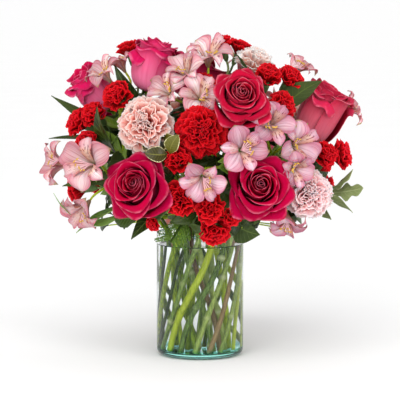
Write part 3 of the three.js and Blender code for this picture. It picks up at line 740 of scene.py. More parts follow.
class Graph:
    """The nodes of one material, or of the world, ending in one shader."""

    def __init__(self, name: str, kept: Any = None) -> None:
        """Starts an empty material of that name, or another owner where such are kept."""
        self.owner = (bpy.data.materials if kept is None else kept).new(name)
        self.owner.use_nodes = True
        self.tree = self.owner.node_tree
        self.tree.nodes.clear()

    def add(
        self, kind: str, links: dict[str | int, Any] | None = None,
        stops: Sequence[tuple[float, Any]] = (), **settings: Any,
    ) -> bpy.types.Node:
        """Adds a node.

        Args:
            kind: The node's type, without the word ShaderNode before it.
            links: What goes into its inputs, by name or number: a node, a socket, a number
                or a colour.
            stops: Places and colours of a colour ramp.
            settings: The node's own settings.

        Returns:
            The node.
        """
        node = self.tree.nodes.new("ShaderNode" + kind)
        for key, value in settings.items():
            setattr(node, key, value)
        for index, (place, shade) in enumerate(stops):
            elements = node.color_ramp.elements
            element = elements[index] if index < 2 else elements.new(place)
            element.position = place
            element.color = linear(shade) if isinstance(shade, str) else (shade,) * 3 + (1.0,)
        live = [socket for socket in node.inputs if socket.enabled]
        for key, value in (links or {}).items():
            socket = live[key] if isinstance(key, int) else next(s for s in live if s.name == key)
            if isinstance(value, bpy.types.Node):
                value = next(output for output in value.outputs if output.enabled)
            if isinstance(value, bpy.types.NodeSocket):
                self.tree.links.new(value, socket)
            else:
                socket.default_value = linear(value) if isinstance(value, str) else value
        return node

    def finish(self, colour: Any, roughness: Any, bump: Any = None, depth: float = 0.1,
               **levels: Any) -> bpy.types.Material:
        """Ends the material in its shader.

        Args:
            colour: Base colour, a socket or a hex code.
            roughness: A number or a socket.
            bump: The height pattern, 0 to 1, if any.
            depth: How high the pattern stands, in mm.
            levels: Further inputs of the shader, with spaces in their names as underscores.

        Returns:
            The material.
        """
        links = {"Base Color": colour, "Roughness": roughness}
        links.update({name.replace("_", " "): value for name, value in levels.items()})
        if bump is not None:
            height = {"Height": bump, "Distance": depth * MILLIMETRE, "Strength": 1.0}
            links["Normal"] = self.add("Bump", height)
        shader = self.add("BsdfPrincipled", links)
        self.add("OutputMaterial", {"Surface": shader})
        return self.owner


@dataclass
class Marks:
    """What the finishes read of a piece: its place across and along, and its three marks."""

    across: Any
    along: Any
    layer: Any
    tone: Any
    side: Any
    uv: Any

    @staticmethod
    def read(graph: Graph) -> "Marks":
        """Adds the nodes that read the uv map and the marks."""
        uv = graph.add("UVMap", uv_map="place")
        place = graph.add("SeparateXYZ", {0: uv})
        marks = graph.add("Attribute", attribute_name="marks")
        split = graph.add("SeparateXYZ", {0: marks.outputs["Vector"]})
        return Marks(place.outputs[0], place.outputs[1], *split.outputs[:3], uv.outputs[0])

    def off_middle(self, graph: Graph) -> Any:
        """How far from the midline, in shares of the width: 0 on it and 0.5 at an edge."""
        centred = graph.add("Math", {0: self.across, 1: 0.5}, operation="SUBTRACT")
        return graph.add("Math", {0: centred}, operation="ABSOLUTE")


def streaks(graph: Graph, marks: Marks, across: float, along: float, detail: float = 2) -> Any:
    """Uneven streaks that run along a petal or leaf: so many across it and along it."""
    shift = graph.add("CombineXYZ", {0: marks.tone, 1: marks.layer, 2: marks.tone})
    moved = graph.add("VectorMath", {0: marks.uv, 1: shift}, operation="ADD")
    scaled = graph.add("Mapping", {0: moved, "Scale": (across, along, 5.0)})
    noise = graph.add("TexNoise", {"Vector": scaled, "Scale": 1.0, "Detail": detail})
    return noise.outputs[0]


def mottle(graph: Graph, size: float, detail: float = 2.0) -> Any:
    """Clouds of a feature size in mm, on Object coordinates."""
    place = graph.add("TexCoord").outputs["Object"]
    links = {"Vector": place, "Scale": per_metre(size), "Detail": detail}
    return graph.add("TexNoise", links).outputs[0]


@dataclass(frozen=True)
class Finish:
    """A finish: its name and, on a piece of the object, its slot name."""

    name: str
    slot: str = ""

    def make(self) -> bpy.types.Material:
        """Builds the material."""
        raise NotImplementedError


@dataclass(frozen=True)
class RosePetal(Finish):
    """A garden-grown rose petal: living skin of tiny domed cells.

    The cells scatter light, so it looks like velvet satin. It is deeper towards the heart and at
    the foot of each petal, partly its own deeper colour and partly painted shade of the bloom's
    depths;
    it is flushed with magenta outwards and paler on the back; painted highlights lie in patches
    along the lip and at the claw of the back, where the claw is also paler of its own; and faint
    streaks run from base to lip.
    """

    # heart: the deepest colour, partly the petal's own and partly painted shade of the bloom's
    # depths
    heart: str = "#54000c"
    inner: str = "#a20212"
    outer: str = "#960020"
    flush: str = "#9c0434"
    # rim: colour of the painted highlights on the lips, and on the back at the claw
    rim: str = "#ea809c"
    back: str = "#a00838"
    # Share of the rim colour at the foot of the back: partly the claw's own paleness, partly a
    # painted highlight.
    pale_claw_and_highlight: float = 0.12
    patch: float = 11.0

    def make(self) -> bpy.types.Material:
        """Colours by layer and place along, with painted shade at the heart and the feet, painted
        highlights on the lips in patches of 11 mm, then tone and streaks.
        """
        g = Graph(self.name)
        m = Marks.read(g)
        lines = streaks(g, m, 26, 3)
        # Painted shade: the heart colour darkens the inner layers, partly the rose's own deeper
        # colour.
        stops = [(0.0, self.heart), (0.3, self.inner), (0.9, self.outer)]
        heart_shade_and_colour = g.add("ValToRGB", {0: m.layer}, stops)
        # Painted shade of the bloom's depths at the foot of every petal.
        foot = g.add("ValToRGB", {0: m.along}, [(0.3, 0.8), (0.8, 0.0)])
        deep = g.add("Mix", {"Factor": foot, "A": heart_shade_and_colour, "B": self.heart}, **COLOUR)
        outward = g.add("MapRange", {0: m.along, 1: 0.45, 2: 0.95, 3: 0.0, 4: m.layer})
        flushed = g.add("Mix", {"Factor": outward, "A": deep, "B": self.flush}, **COLOUR)
        # Paler claw on the back, partly its own colour and partly a painted highlight.
        claw = g.add("MapRange", {0: m.along, 1: 0.8, 2: 0.35, 3: 0.0, 4: self.pale_claw_and_highlight})
        behind = g.add("Mix", {"Factor": claw, "A": self.back, "B": self.rim}, **COLOUR)
        aged = g.add("MapRange", {0: m.layer, 1: 0.1, 2: 0.8, 3: 0.25, 4: 1.0})
        outer = g.add("Math", {0: m.side, 1: aged}, operation="MULTIPLY")
        side = g.add("Mix", {"Factor": outer, "A": flushed, "B": behind}, **COLOUR)
        off = m.off_middle(g)
        # Painted highlights along the side edges and the crest of the lip, in clouds of 11 mm.
        side_highlight = g.add("MapRange", {0: off, 1: 0.47, 2: 0.495, 3: 0.0, 4: 0.45})
        crest = g.add("MapRange", {0: m.along, 1: 0.955, 2: 0.99, 3: 0.0, 4: 0.52})
        whole = g.add("Math", {0: side_highlight, 1: crest}, operation="MAXIMUM")
        clouds = mottle(g, self.patch)
        patches = g.add("MapRange", {0: clouds, 1: 0.42, 2: 0.62, 3: 0.08, 4: 0.95})
        lip = g.add("Math", {0: whole, 1: patches}, operation="MULTIPLY")
        lip_highlighted = g.add("Mix", {"Factor": lip, "A": side, "B": self.rim}, **COLOUR)
        shade = g.add("MapRange", {0: m.tone, 3: 0.86, 4: 1.1})
        toned = g.add("HueSaturation", {"Color": lip_highlighted, "Value": shade})
        soft = g.add("MapRange", {0: lines, 1: 0.4, 2: 0.75, 3: 0.0, 4: 0.3})
        streaked = g.add("Mix", {"Factor": soft, "A": toned, "B": self.back}, **COLOUR)
        return g.finish(streaked, 0.5, lines, 0.25, Specular_IOR_Level=0.12,
                        Specular_Tint="#e0407c", Subsurface_Weight=0.15, Subsurface_Scale=0.002)


@dataclass(frozen=True)
class CarnationPetal(Finish):
    """A carnation petal: thin crumpled skin with a cut edge.

    It is matt and glows where light comes through the folds. Towards each petal's base, deep in
    the bloom, it takes a deeper colour, partly its own and partly painted shade; its edge is paler
    than its base. The pink kind is flecked with coral.
    """

    edge: str = "#f5cbc0"
    body: str = "#eaaaa0"
    # depth: colour at each petal's base, partly its own and partly painted shade of the bloom's
    # depths
    depth: str = "#de6056"
    fleck: str = "#e04448"
    flecked: float = 0.7
    fleck_size: float = 4.0

    def make(self) -> bpy.types.Material:
        """Colours from base to edge, the base's deeper colour partly painted shade; real flecks of
        1 mm are drawn at 4 mm so that they show.
        """
        g = Graph(self.name)
        m = Marks.read(g)
        lines = streaks(g, m, 18, 3)
        # The depth colour at the base is partly painted shade.
        stops = [(0.4, self.depth), (0.8, self.body), (0.98, self.edge)]
        base = g.add("ValToRGB", {0: m.along}, stops)
        clouds = mottle(g, self.fleck_size, 3.0)
        spots = g.add("MapRange", {0: clouds, 1: 0.56, 2: 0.66, 4: self.flecked})
        inward = g.add("MapRange", {0: m.layer, 1: 1.0, 2: 0.3, 3: 0.15, 4: 1.0})
        amount = g.add("Math", {0: spots, 1: inward}, operation="MULTIPLY")
        flecks = g.add("Mix", {"Factor": amount, "A": base, "B": self.fleck}, **COLOUR)
        shade = g.add("MapRange", {0: m.tone, 3: 0.9, 4: 1.06})
        toned = g.add("HueSaturation", {"Color": flecks, "Value": shade})
        return g.finish(toned, 0.7, lines, 0.15, Specular_IOR_Level=0.08, Subsurface_Weight=0.9,
                        Subsurface_Radius=(1.0, 0.7, 0.6), Subsurface_Scale=0.004)


@dataclass(frozen=True)
class LilyPetal(Finish):
    """An alstroemeria tepal: smooth waxy skin with long veins.

    Satin, pale pink with deeper veins and edges; the narrow upper ones have a yellow throat
    with short dark dashes, the broad ones a green tip, and the backs are striped with salmon.
    """

    pale: str = "#dac5c4"
    pink: str = "#b87a84"
    vein: str = "#9c4458"
    throat: str = "#c09a58"
    dash: str = "#6e1228"
    tip: str = "#96904c"
    behind: str = "#c87a68"

    def make(self) -> bpy.types.Material:
        """Veins along, pink to the sides and the tip, a throat and dashes on marked petals."""
        g = Graph(self.name)
        m = Marks.read(g)
        lines = streaks(g, m, 22, 1.2, 1)
        off = m.off_middle(g)
        spread = g.add("ValToRGB", {0: off}, [(0.08, self.pale), (0.44, self.pink)])
        outward = g.add("MapRange", {0: m.along, 1: 0.3, 2: 1.0, 3: 0.0, 4: m.tone})
        blush = g.add("Mix", {"Factor": outward, "A": spread, "B": self.pink}, **COLOUR)
        fine = g.add("MapRange", {0: lines, 1: 0.5, 2: 0.62, 3: 0.0, 4: 0.45})
        veined = g.add("Mix", {"Factor": fine, "A": blush, "B": self.vein}, **COLOUR)
        marked = g.add("MapRange", {0: m.layer, 1: 0.4, 2: 0.6})
        zone = g.add("ValToRGB", {0: m.along},
                     [(0.2, 0.0), (0.34, 0.36), (0.6, 0.36), (0.74, 0.0)])
        golden = g.add("Math", {0: zone, 1: marked}, operation="MULTIPLY")
        yellow = g.add("Mix", {"Factor": golden, "A": veined, "B": self.throat}, **COLOUR)
        cuts = streaks(g, m, 13, 9, 0)
        short = g.add("MapRange", {0: cuts, 1: 0.62, 2: 0.66, 4: 0.85})
        reach = g.add("ValToRGB", {0: m.along},
                      [(0.25, 0.0), (0.35, 1.0), (0.72, 1.0), (0.8, 0.0)])
        placed = g.add("Math", {0: short, 1: reach}, operation="MULTIPLY")
        dashes = g.add("Math", {0: placed, 1: marked}, operation="MULTIPLY")
        dashed = g.add("Mix", {"Factor": dashes, "A": yellow, "B": self.dash}, **COLOUR)
        end = g.add("MapRange", {0: m.along, 1: 0.93, 2: 0.99, 3: 0.0, 4: 0.7})
        broad = g.add("Math", {0: 1.0, 1: marked}, operation="SUBTRACT")
        green = g.add("Math", {0: end, 1: broad}, operation="MULTIPLY")
        root = g.add("MapRange", {0: m.along, 1: 0.36, 2: 0.08, 4: 0.7})
        greens = g.add("Math", {0: green, 1: root}, operation="MAXIMUM")
        tipped = g.add("Mix", {"Factor": greens, "A": dashed, "B": self.tip}, **COLOUR)
        stripe = g.add("MapRange", {0: off, 1: 0.2, 2: 0.05, 3: 0.1, 4: 0.65})
        backs = g.add("Math", {0: stripe, 1: m.side}, operation="MULTIPLY")
        backed = g.add("Mix", {"Factor": backs, "A": tipped, "B": self.behind}, **COLOUR)
        shade = g.add("MapRange", {0: m.tone, 3: 1.15, 4: 0.86})
        toned = g.add("HueSaturation", {"Color": backed, "Value": shade})
        return g.finish(toned, 0.45, lines, 0.12, Specular_IOR_Level=0.2, Subsurface_Weight=0.3,
                        Subsurface_Scale=0.002)


@dataclass(frozen=True)
class LeafSkin(Finish):
    """A living leaf: waxy skin over green tissue, with a midrib and side veins.

    The wax gives a soft sheen; the rib and veins are paler, and the underside is matt and
    paler than the face. Some kinds have a cream edge.
    """

    face: str = "#34511f"
    fresh: str = "#56752f"
    under: str = "#7d9560"
    rib: str = "#8ba35c"
    edge: str = "#34511f"
    edged: float = 0.0
    gloss: float = 0.38
    veins: float = 9.0
    cloud: float = 12.0

    def make(self) -> bpy.types.Material:
        """Rib and veins from the place across and along, clouds of 12 mm, an uneven edge."""
        g = Graph(self.name)
        m = Marks.read(g)
        off = m.off_middle(g)
        uneven = g.add("Math", {0: mottle(g, self.cloud), 1: m.tone}, operation="ADD")
        upper = g.add("ValToRGB", {0: uneven}, [(0.6, self.face), (1.0, self.fresh)])
        body = g.add("Mix", {"Factor": m.side, "A": upper, "B": self.under}, **COLOUR)
        slant = g.add("Math", {0: off, 1: -0.35, 2: m.along}, operation="MULTIPLY_ADD")
        steps = g.add("Math", {0: slant, 1: self.veins * 2}, operation="MULTIPLY")
        wave = g.add("Math", {0: steps, 1: 1.0}, operation="PINGPONG")
        side_vein = g.add("MapRange", {0: wave, 1: 0.18, 2: 0.02, 3: 0.0, 4: 0.45})
        midrib = g.add("MapRange", {0: off, 1: 0.035, 2: 0.012, 3: 0.0, 4: 0.8})
        ribs = g.add("Math", {0: side_vein, 1: midrib}, operation="MAXIMUM")
        ribbed = g.add("Mix", {"Factor": ribs, "A": body, "B": self.rib}, **COLOUR)
        rough_edge = {0: streaks(g, m, 2, 14), 1: 0.16, 2: off}
        ragged = g.add("Math", rough_edge, operation="MULTIPLY_ADD")
        border = g.add("MapRange", {0: ragged, 1: 0.53, 2: 0.56, 3: 0.0, 4: self.edged})
        bordered = g.add("Mix", {"Factor": border, "A": ribbed, "B": self.edge}, **COLOUR)
        rough = g.add("MapRange", {0: m.side, 3: self.gloss, 4: 0.65})
        relief = g.add("Math", {0: uneven, 1: 0.25, 2: ribs}, operation="MULTIPLY_ADD")
        return g.finish(bordered, rough, relief, 0.35, Specular_IOR_Level=0.28)


@dataclass(frozen=True)
class StemSkin(Finish):
    """The skin of a cut stem: smooth and faintly ribbed along its fibres.

    Fresh green with lighter and darker streaks along it, paler where it swells at a node and
    at the cut end.
    """

    light: str = "#cfe23a"
    dark: str = "#8aac18"
    deep: str = "#4c660c"
    node: str = "#dfe6a0"
    rough: float = 0.42
    fibre: float = 1.5
    stretch: float = 10.0

    def make(self) -> bpy.types.Material:
        """Fibres stretched ten times along +Z, drawn at 1.5 mm, coarser than the real."""
        g = Graph(self.name)
        m = Marks.read(g)
        place = g.add("TexCoord").outputs["Object"]
        wide, long = per_metre(self.fibre), per_metre(self.fibre * self.stretch)
        fibres = g.add("Mapping", {0: place, "Scale": (wide, wide, long)})
        noise = g.add("TexNoise", {"Vector": fibres, "Scale": 1.0, "Detail": 2.0})
        level = g.add("Math", {0: m.tone, 1: 0.6, 2: noise}, operation="MULTIPLY_ADD")
        stops = [(0.42, self.deep), (0.68, self.dark), (0.98, self.light)]
        skin = g.add("ValToRGB", {0: level}, stops)
        swell = g.add("MapRange", {0: m.side, 1: 0.12, 2: 0.4, 3: 0.0, 4: 0.85})
        noded = g.add("Mix", {"Factor": swell, "A": skin, "B": self.node}, **COLOUR)
        end = g.add("MapRange", {0: m.along, 1: 0.012, 2: 0.004, 3: 0.0, 4: 0.9})
        cut = g.add("Mix", {"Factor": end, "A": noded, "B": self.node}, **COLOUR)
        return g.finish(cut, self.rough, noise, 0.15, Specular_IOR_Level=0.3)


@dataclass(frozen=True)
class Pollen(Finish):
    """Anthers and filaments: dusty golden pollen on a thin pale stalk."""

    dust: str = "#a87a22"
    bright: str = "#d9b04a"
    stalk: str = "#f0c4cc"
    grain: float = 0.6

    def make(self) -> bpy.types.Material:
        """Gold where the layer mark is 1, pale pink where it is 0; grains drawn at 0.6 mm."""
        g = Graph(self.name)
        m = Marks.read(g)
        grains = mottle(g, self.grain)
        gold = {"Factor": grains, "A": self.dust, "B": self.bright}
        dust = g.add("Mix", gold, **COLOUR)
        both = g.add("Mix", {"Factor": m.layer, "A": self.stalk, "B": dust}, **COLOUR)
        return g.finish(both, 0.7, grains, 0.1)


@dataclass(frozen=True)
class Glass(Finish):
    """Soda-lime glass, blown and fire-polished.

    Clear in the wall, and faintly aqua where one looks through the thick base and the rim.
    Where the wall above the base is seen edge-on it turns a darker grey-teal, partly the glass's
    own green over a long path and partly painted shade for the wall's dark outline.
    """

    clear: str = "#fcfefd"
    aqua: str = "#a8f3e6"
    rim: str = "#8cc4bc"
    # edge: the edge-on colour, partly the glass's own green and partly painted shade
    edge: str = "#4f7d78"
    height: float = 0.145
    base_ends: tuple[float, float] = (0.012, 0.02)
    wave: float = 30.0

    def make(self) -> bpy.types.Material:
        """Colour by height: aqua in the base's 12 mm, deeper in the rim's 1 mm, else clear; a
        darker grey-teal edge-on, partly painted shade.
        """
        g = Graph(self.name)
        place = g.add("TexCoord").outputs["Object"]
        height = g.add("SeparateXYZ", {0: place}).outputs[2]
        share = g.add("Math", {0: height, 1: self.height}, operation="DIVIDE")
        stops = [(0.0, self.aqua), (0.05, self.aqua), (0.085, self.clear), (0.985, self.clear),
                 (0.996, self.rim)]
        tint = g.add("ValToRGB", {0: share}, stops)
        # Edge-on darkening of the wall: partly long-path green, partly painted shade of its
        # outline.
        facing = g.add("LayerWeight", {"Blend": 0.5}).outputs["Facing"]
        edge_on_tint_and_shade = g.add("MapRange", {0: facing, 1: 0.72, 2: 0.95})
        low, high = self.base_ends
        wall = g.add("MapRange", {0: height, 1: low, 2: high})
        sides = g.add("Math", {0: edge_on_tint_and_shade, 1: wall}, operation="MULTIPLY")
        toned = g.add("Mix", {"Factor": sides, "A": tint, "B": self.edge}, **COLOUR)
        waves = mottle(g, self.wave, 0.0)
        return g.finish(toned, 0.0, waves, 0.15, IOR=1.5, Transmission_Weight=1.0,
                        Specular_Tint="#8a8f8f")


@dataclass(frozen=True)
class StillWater(Finish):
    """Tap water, still and clear: it bends the light, and its raised edge carries a painted aqua
    line that stands in for the light it bends there.
    """

    clear: str = "#fcfefe"
    # edge: colour of the painted line at the meniscus, standing in for light bent there
    edge: str = "#3f9c92"
    climbs: tuple[float, float] = (0.1303, 0.1308)
    wave: float = 25.0

    def make(self) -> bpy.types.Material:
        """A clear body with broad faint waves of 25 mm, and a painted aqua line where the edge
        climbs the wall.
        """
        g = Graph(self.name)
        place = g.add("TexCoord").outputs["Object"]
        height = g.add("SeparateXYZ", {0: place}).outputs[2]
        # Painted line where the water climbs the wall.
        painted_edge_line = g.add("MapRange", {0: height, 1: self.climbs[0], 2: self.climbs[1]})
        links = {"Factor": painted_edge_line, "A": self.clear, "B": self.edge}
        tint = g.add("Mix", links, **COLOUR)
        return g.finish(tint, 0.0, mottle(g, self.wave, 0.0), 0.1, IOR=1.33,
                        Transmission_Weight=1.0, Specular_Tint="#707878")


@dataclass(frozen=True)
class WhiteCard(Finish):
    """A white paper sweep: matt card, whose fibres scatter the light evenly."""

    cloud: float = 200.0

    def make(self) -> bpy.types.Material:
        """Nearly even white, with clouds of 200 mm too faint to see as spots."""
        g = Graph(self.name)
        links = {"Factor": mottle(g, self.cloud), "A": "#fbfbfb", "B": "#ffffff"}
        shade = g.add("Mix", links, **COLOUR)
        return g.finish(shade, 0.9, Specular_IOR_Level=0.1)


# --- Pieces ---


@dataclass
class Workshop:
    """Makes pieces of shells, and keeps each finish's material once it is made."""

    materials: dict[str, bpy.types.Material] = field(default_factory=dict)
    counted: int = 0

    def material(self, finish: Finish) -> bpy.types.Material:
        """The finish's material, made on first use."""
        if finish.name not in self.materials:
            self.materials[finish.name] = finish.make()
        return self.materials[finish.name]

    def mesh_object(self, name: str, shell: Shell, finish: Finish) -> bpy.types.Object:
        """An object of a shell, in metres, with its uv map, its marks and its finish."""
        mesh = bpy.data.meshes.new(name)
        corners = np.concatenate([shell.quads.ravel(), shell.corners.ravel()]).astype(np.int32)
        fours, threes = len(shell.quads), len(shell.corners)
        starts = np.concatenate([np.arange(fours) * 4, fours * 4 + np.arange(threes) * 3])
        mesh.vertices.add(len(shell.points))
        mesh.vertices.foreach_set("co", (shell.points * MILLIMETRE).astype(np.float32).ravel())
        mesh.loops.add(len(corners))
        mesh.loops.foreach_set("vertex_index", corners)
        mesh.polygons.add(fours + threes)
        mesh.polygons.foreach_set("loop_start", starts.astype(np.int32))
        mesh.polygons.foreach_set("use_smooth", np.ones(fours + threes, bool))
        mesh.update(calc_edges=True)
        uv = mesh.uv_layers.new(name="place")
        uv.data.foreach_set("uv", shell.uv[corners].astype(np.float32).ravel())
        marks = mesh.attributes.new("marks", "FLOAT_VECTOR", "POINT")
        marks.data.foreach_set("vector", shell.marks.astype(np.float32).ravel())
        mesh.validate()
        mesh.materials.append(self.material(finish))
        piece = bpy.data.objects.new(name, mesh)
        bpy.context.scene.collection.objects.link(piece)
        return piece

    def piece(self, name: str, shell: Shell, finish: Finish, *nodes: str) -> bpy.types.Object:
        """A finished piece of the bouquet, which stands for the CAD nodes it names.

        Args:
            name: The piece's name.
            shell: Its surfaces.
            finish: Its finish.
            nodes: The solids it replaces.

        Returns:
            The object.
        """
        made = self.mesh_object(name, shell, finish)
        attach(made, "root")
        if nodes:
            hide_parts(*nodes)
        triangles = 2 * len(shell.quads) + len(shell.corners)
        self.counted += triangles
        LOG.info("%s: %d triangles", name, triangles)
        return made


# --- Flowers, each round its own +Z, its middle at the origin ---


@dataclass(frozen=True)
class Whorl:
    """One turn of petals: how many, where their lips are and how they spread.

    lip and height are shares of the bloom's radius and depth, spread is half a petal's width
    in radians round the axis, and curl is how far its lip rolls out, a share of the radius.
    """

    count: int
    lip: float
    height: float
    spread: float
    curl: float = 0.0


def round_axis(radius: Array, angle: Array, height: Array) -> Array:
    """Points from radius, angle and height round +Z, for arrays of one shape."""
    return np.stack([radius * np.cos(angle), radius * np.sin(angle), height], axis=-1)


CUPPED_WHORLS = (
    Whorl(2, 0.045, 0.33, 2.6),
    Whorl(3, 0.10, 0.36, 2.2),
    Whorl(3, 0.18, 0.42, 1.9, 0.01),
    Whorl(3, 0.28, 0.46, 1.7, 0.02),
    Whorl(3, 0.42, 0.485, 1.6, 0.04),
    Whorl(3, 0.57, 0.49, 1.5, 0.07),
    Whorl(3, 0.73, 0.47, 1.4, 0.11),
    Whorl(3, 0.84, 0.43, 1.05, 0.15),
    Whorl(3, 0.9, 0.32, 0.85, 0.18),
)


@dataclass
class RoseFlower:
    """A rose: a tight scroll of petals at the heart, and wider turns that roll out their lips."""

    bloom: Bloom
    seed: int
    rows: int = 19
    columns: int = 23
    thickness: float = 0.4
    lean: float = 0.12
    peak_out: float = 0.22
    peak_up: float = 0.07
    whorls: tuple[Whorl, ...] = (
        Whorl(2, 0.045, 0.31, 2.6),
        Whorl(3, 0.10, 0.34, 2.2),
        Whorl(3, 0.17, 0.39, 1.9, 0.01),
        Whorl(3, 0.25, 0.44, 1.7, 0.02),
        Whorl(3, 0.36, 0.465, 1.6, 0.04),
        Whorl(3, 0.49, 0.47, 1.55, 0.07),
        Whorl(3, 0.63, 0.42, 1.45, 0.11),
        Whorl(4, 0.77, 0.3, 1.25, 0.13),
        Whorl(4, 0.87, 0.08, 1.1, 0.12),
    )

    def petal(self, whorl: Whorl, layer: float, bearing: float, rng: np.random.Generator) -> Array:
        """One petal's face.

        Formula: t runs from base to lip and u from side to side. Radius and height follow
        two eased outlines between those of a closed and an open petal. The lip falls away to
        the sides as the 2nd and 8th powers of u, comes to a peak in the middle, up and out,
        and rolls outwards and down over the last fifth. One side lies further in than the
        other, and both edges stand off, the outer one more, so petals lap in turn.

        Args:
            whorl: The turn that the petal is in.
            layer: 0 for the heart, 1 for the outermost.
            bearing: Where the petal's middle is.
            rng: The bloom's random numbers.

        Returns:
            The grid, its face towards the heart.
        """
        u = np.sin(np.linspace(-math.pi / 2, math.pi / 2, self.columns))[None, :]
        t = np.linspace(0, 1, self.rows)[:, None] ** 0.8
        s = t * (1 - (0.03 + 0.04 * layer) * u**2 - 0.1 * np.abs(u) ** 8)
        uneven = 0.02 + 0.11 * layer
        a = whorl.lip * rng.uniform(1 - uneven, 1 + 0.6 * uneven)
        b = whorl.height + rng.uniform(-0.03, 0.02) * (1 + 2 * layer)
        closed = [(0, 0.05), (0.3, 0.8 * a + 0.04), (0.62, 1.12 * a + 0.05), (0.85, 1.06 * a)]
        closed.append((1, a))
        opened = [(0, 0.12), (0.15, 0.2 + 0.3 * a), (0.5, 0.82 * a), (0.82, 0.9 * a), (1, a)]
        low = [(0, -0.44), (0.3, -0.15), (0.62, 0.14), (0.85, b - 0.1), (1, b)]
        wide = [(0, -0.49), (0.15, -0.43), (0.5, -0.16), (0.82, b - 0.12), (1, b)]
        share = min(max((layer - 0.3) / 0.45, 0.0), 1.0)
        radius = eased(closed, s) * (1 - share) + eased(opened, s) * share
        height = eased(low, s) * (1 - share) + eased(wide, s) * share
        roll = np.clip((s - 0.82) / 0.18, 0, 1) ** 1.7
        point = np.exp(-((u / 0.3) ** 2)) * t**6
        hand = rng.choice([-1.0, 1.0])
        drop = 1.3 * whorl.curl * rng.uniform(0.6, 1.3)
        radius = radius + whorl.curl * (roll - 0.6 * u**2 * t**3) + self.peak_out * layer**2 * point
        height = height - drop * roll * (1 + 0.5 * hand * u) + (0.02 + self.peak_up * layer) * point
        phase = rng.uniform(0, 2 * math.pi, 3)
        wave = np.sin(3.0 * u + phase[0]) + 0.4 * np.sin(7.0 * u + phase[2])
        edge = layer * (0.06 + 0.04 * np.sign(u)) * np.abs(u) ** 5 * t
        radius = radius * (1 + (0.12 - 0.04 * layer) * u) + 0.016 * wave * t**4 + edge
        height = height + 0.022 * np.sin(4.2 * u + phase[1]) * t**3
        width = eased([(0, 0.45), (0.3, 0.85), (0.6, 1), (0.85, 0.97), (1, 0.84)], t)
        angle = bearing - u * whorl.spread * width + 0.1 * rng.uniform(-1, 1) * t
        return round_axis(radius * self.bloom.radius, angle, height * self.bloom.depth)

    def shell(self) -> Shell:
        """All the petals, whorl by whorl, each turned past the one before.

        Formula: inner whorls are moved towards the side that is up in the vase, by the lean's
        share of the radius at the heart and nothing at the outermost, as the petals below
        hang a little more open.
        """
        rng = np.random.default_rng(self.seed)
        rise = turn_to(self.bloom.faces).T @ np.array([0.0, 0.0, 1.0]) * [1, 1, 0]
        petals = []
        start = rng.uniform(0, 2 * math.pi)
        for index, whorl in enumerate(self.whorls):
            layer = index / (len(self.whorls) - 1)
            start += 1.1
            for k in range(whorl.count):
                bearing = start + 2 * math.pi * k / whorl.count + rng.uniform(-0.15, 0.15)
                grid = self.petal(whorl, layer, bearing, rng)
                grid = grid + rise * self.lean * self.bloom.radius * (1 - layer)
                petals.append(sheet(grid, self.thickness, layer, rng.uniform()))
        return Shell.joined(petals)


